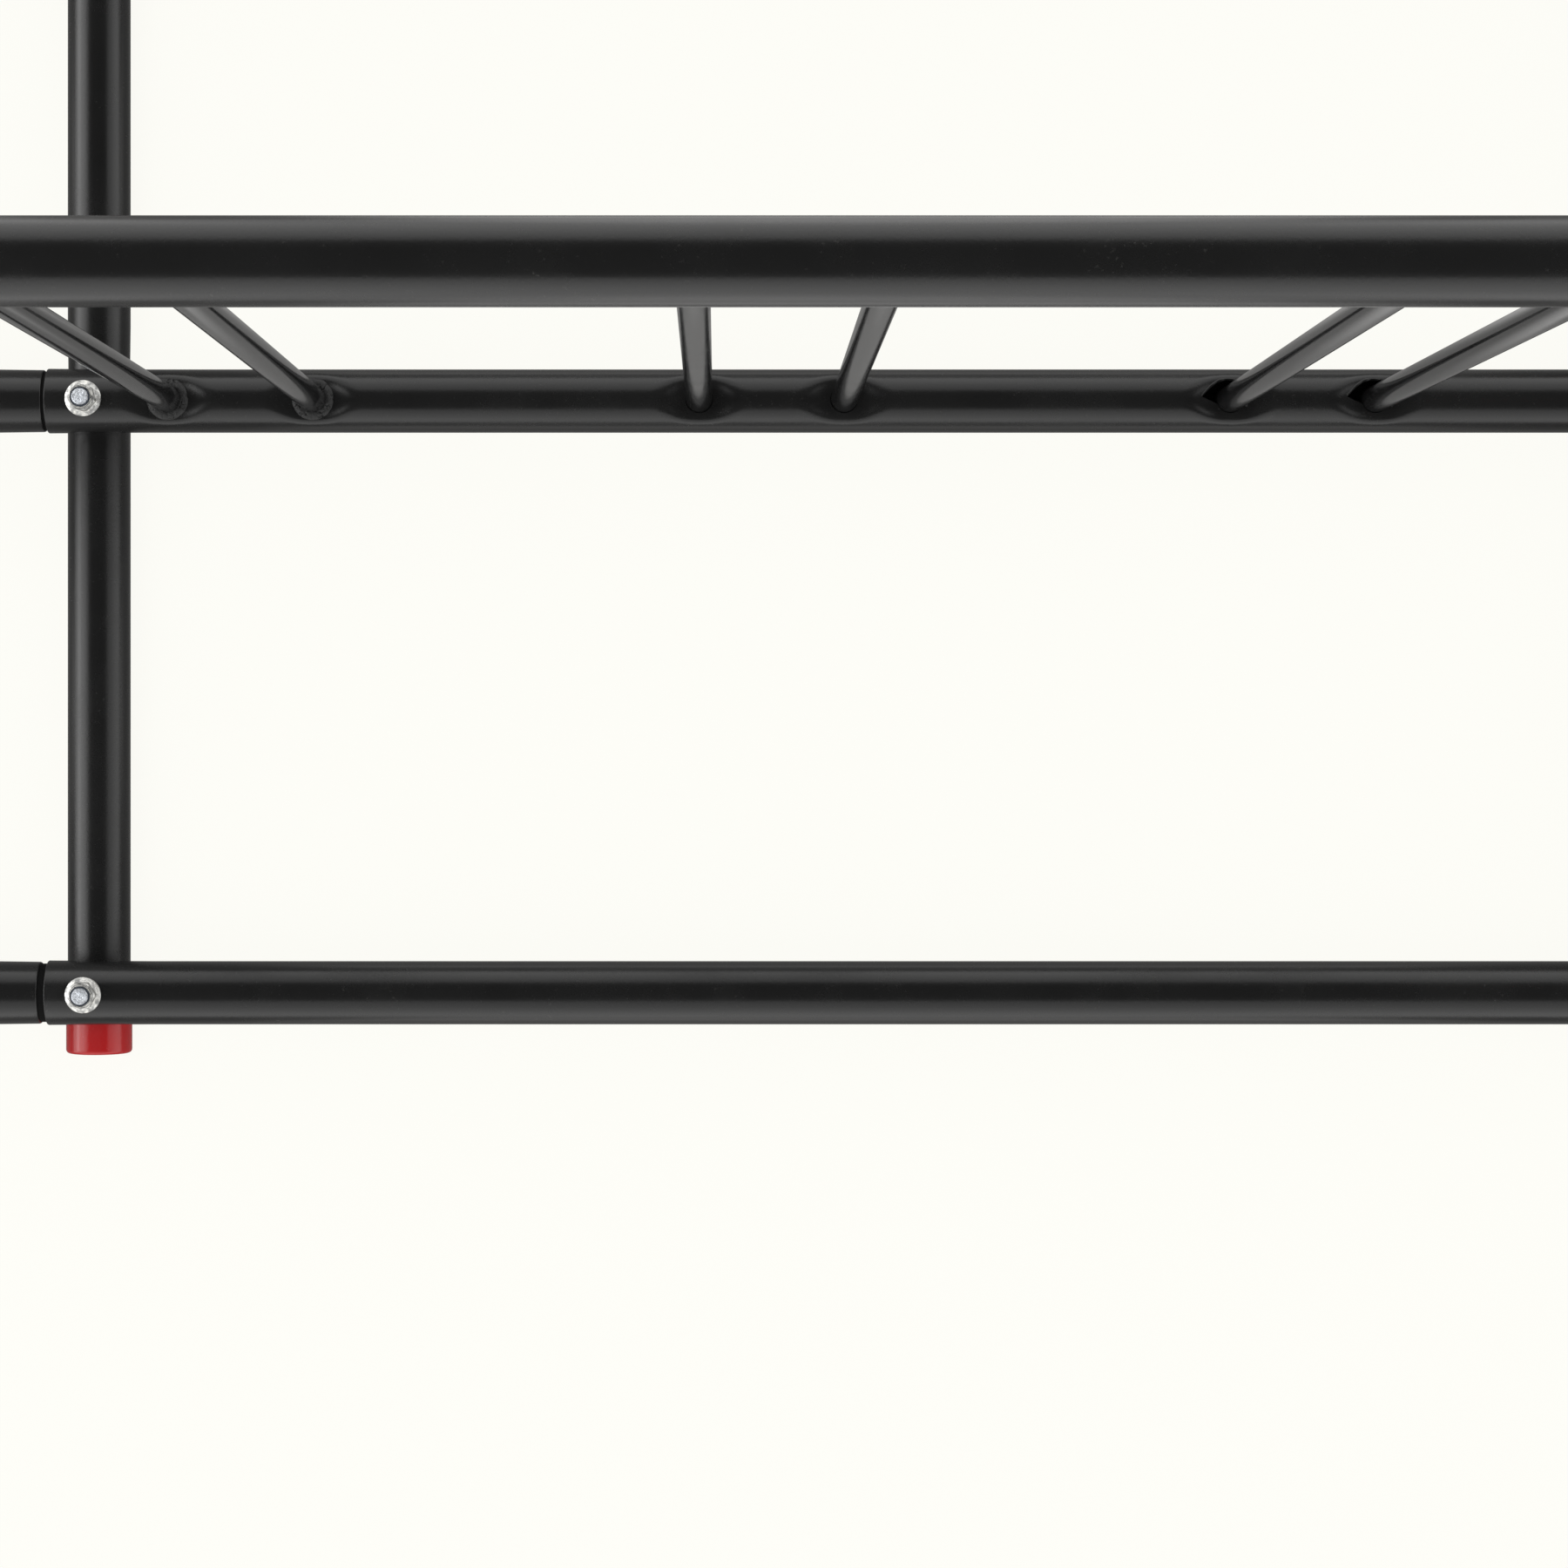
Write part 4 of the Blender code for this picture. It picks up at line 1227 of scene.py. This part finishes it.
class BuildStage(bpy.types.Operator):
    """The floor, the soft light and the camera"""

    bl_idname = "bike_rack.stage"
    bl_label = "Stage"

    def execute(self, context):
        studio = context.scene.rack_studio
        mesh = bpy.data.meshes.new("floor")
        bm = bmesh.new()
        bmesh.ops.create_circle(bm, cap_ends=True, segments=96, radius=9.0)
        bmesh.ops.translate(bm, verts=bm.verts, vec=(0, 0, -FLOOR_DROP))
        bm.to_mesh(mesh)
        bm.free()
        mesh.materials.append(floor_finish(studio.floor))
        object_from(mesh)

        context.scene.world = studio_world(studio.level)
        add_lamp("overhead", (-0.6, -0.9, 3.4), (0.1, 0, 0), (3.2, 3.2), 1.1)
        for name, (place, size, radiance) in PANELS.items():
            add_panel(name, place, size, radiance)

        data = bpy.data.cameras.new("camera")
        data.sensor_width = 36.0
        data.lens = studio.lens * 1000.0
        data.clip_start = 0.05
        data.shift_x, data.shift_y = CAMERA_SHIFT
        camera = bpy.data.objects.new("camera", data)
        camera.location = CAMERA_PLACE
        context.scene.collection.objects.link(camera)
        context.scene.camera = camera
        context.scene.view_settings.view_transform = "Standard"
        return {"FINISHED"}


class BikeRackPanel(bpy.types.Panel):
    """The operators that build the rack's looks"""

    bl_idname = "VIEW3D_PT_bike_rack"
    bl_label = "Bike Rack"
    bl_space_type = "VIEW_3D"
    bl_region_type = "UI"
    bl_category = "Bike Rack"

    def draw(self, context):
        layout = self.layout
        for group in GROUPS:
            settings = getattr(context.scene, group)
            box = layout.box()
            for name in settings.__annotations__:
                box.prop(settings, name)
        for operator in OPERATORS:
            layout.operator(operator.bl_idname)


GROUPS = {
    "rack_tubes": RackTubes,
    "rack_rods": RackRods,
    "rack_welds": RackWelds,
    "rack_fasteners": RackFasteners,
    "rack_finishes": RackFinishes,
    "rack_studio": RackStudio,
}
OPERATORS = (
    BuildFootRails,
    BuildCrossTubes,
    BuildGridTubes,
    BuildTopRails,
    BuildRods,
    BuildWeldBeads,
    BuildTornLips,
    BuildGapShade,
    BuildEndCaps,
    BuildBolts,
    BuildLockNuts,
    BuildStage,
)


def register():
    for name, group in GROUPS.items():
        bpy.utils.register_class(group)
        setattr(bpy.types.Scene, name, PointerProperty(type=group))
    for operator in OPERATORS:
        bpy.utils.register_class(operator)
    bpy.utils.register_class(BikeRackPanel)


def unregister():
    bpy.utils.unregister_class(BikeRackPanel)
    for operator in reversed(OPERATORS):
        bpy.utils.unregister_class(operator)
    for name, group in reversed(GROUPS.items()):
        delattr(bpy.types.Scene, name)
        bpy.utils.unregister_class(group)


def main():
    register()
    bpy.ops.bike_rack.foot_rails()
    bpy.ops.bike_rack.cross_tubes()
    bpy.ops.bike_rack.grid_tubes()
    bpy.ops.bike_rack.top_rails()
    bpy.ops.bike_rack.rods()
    bpy.ops.bike_rack.weld_beads()
    bpy.ops.bike_rack.torn_lips()
    bpy.ops.bike_rack.necks()
    bpy.ops.bike_rack.end_caps()
    bpy.ops.bike_rack.bolts()
    bpy.ops.bike_rack.lock_nuts()
    bpy.ops.bike_rack.stage()


if __name__ == "__main__":
    main()
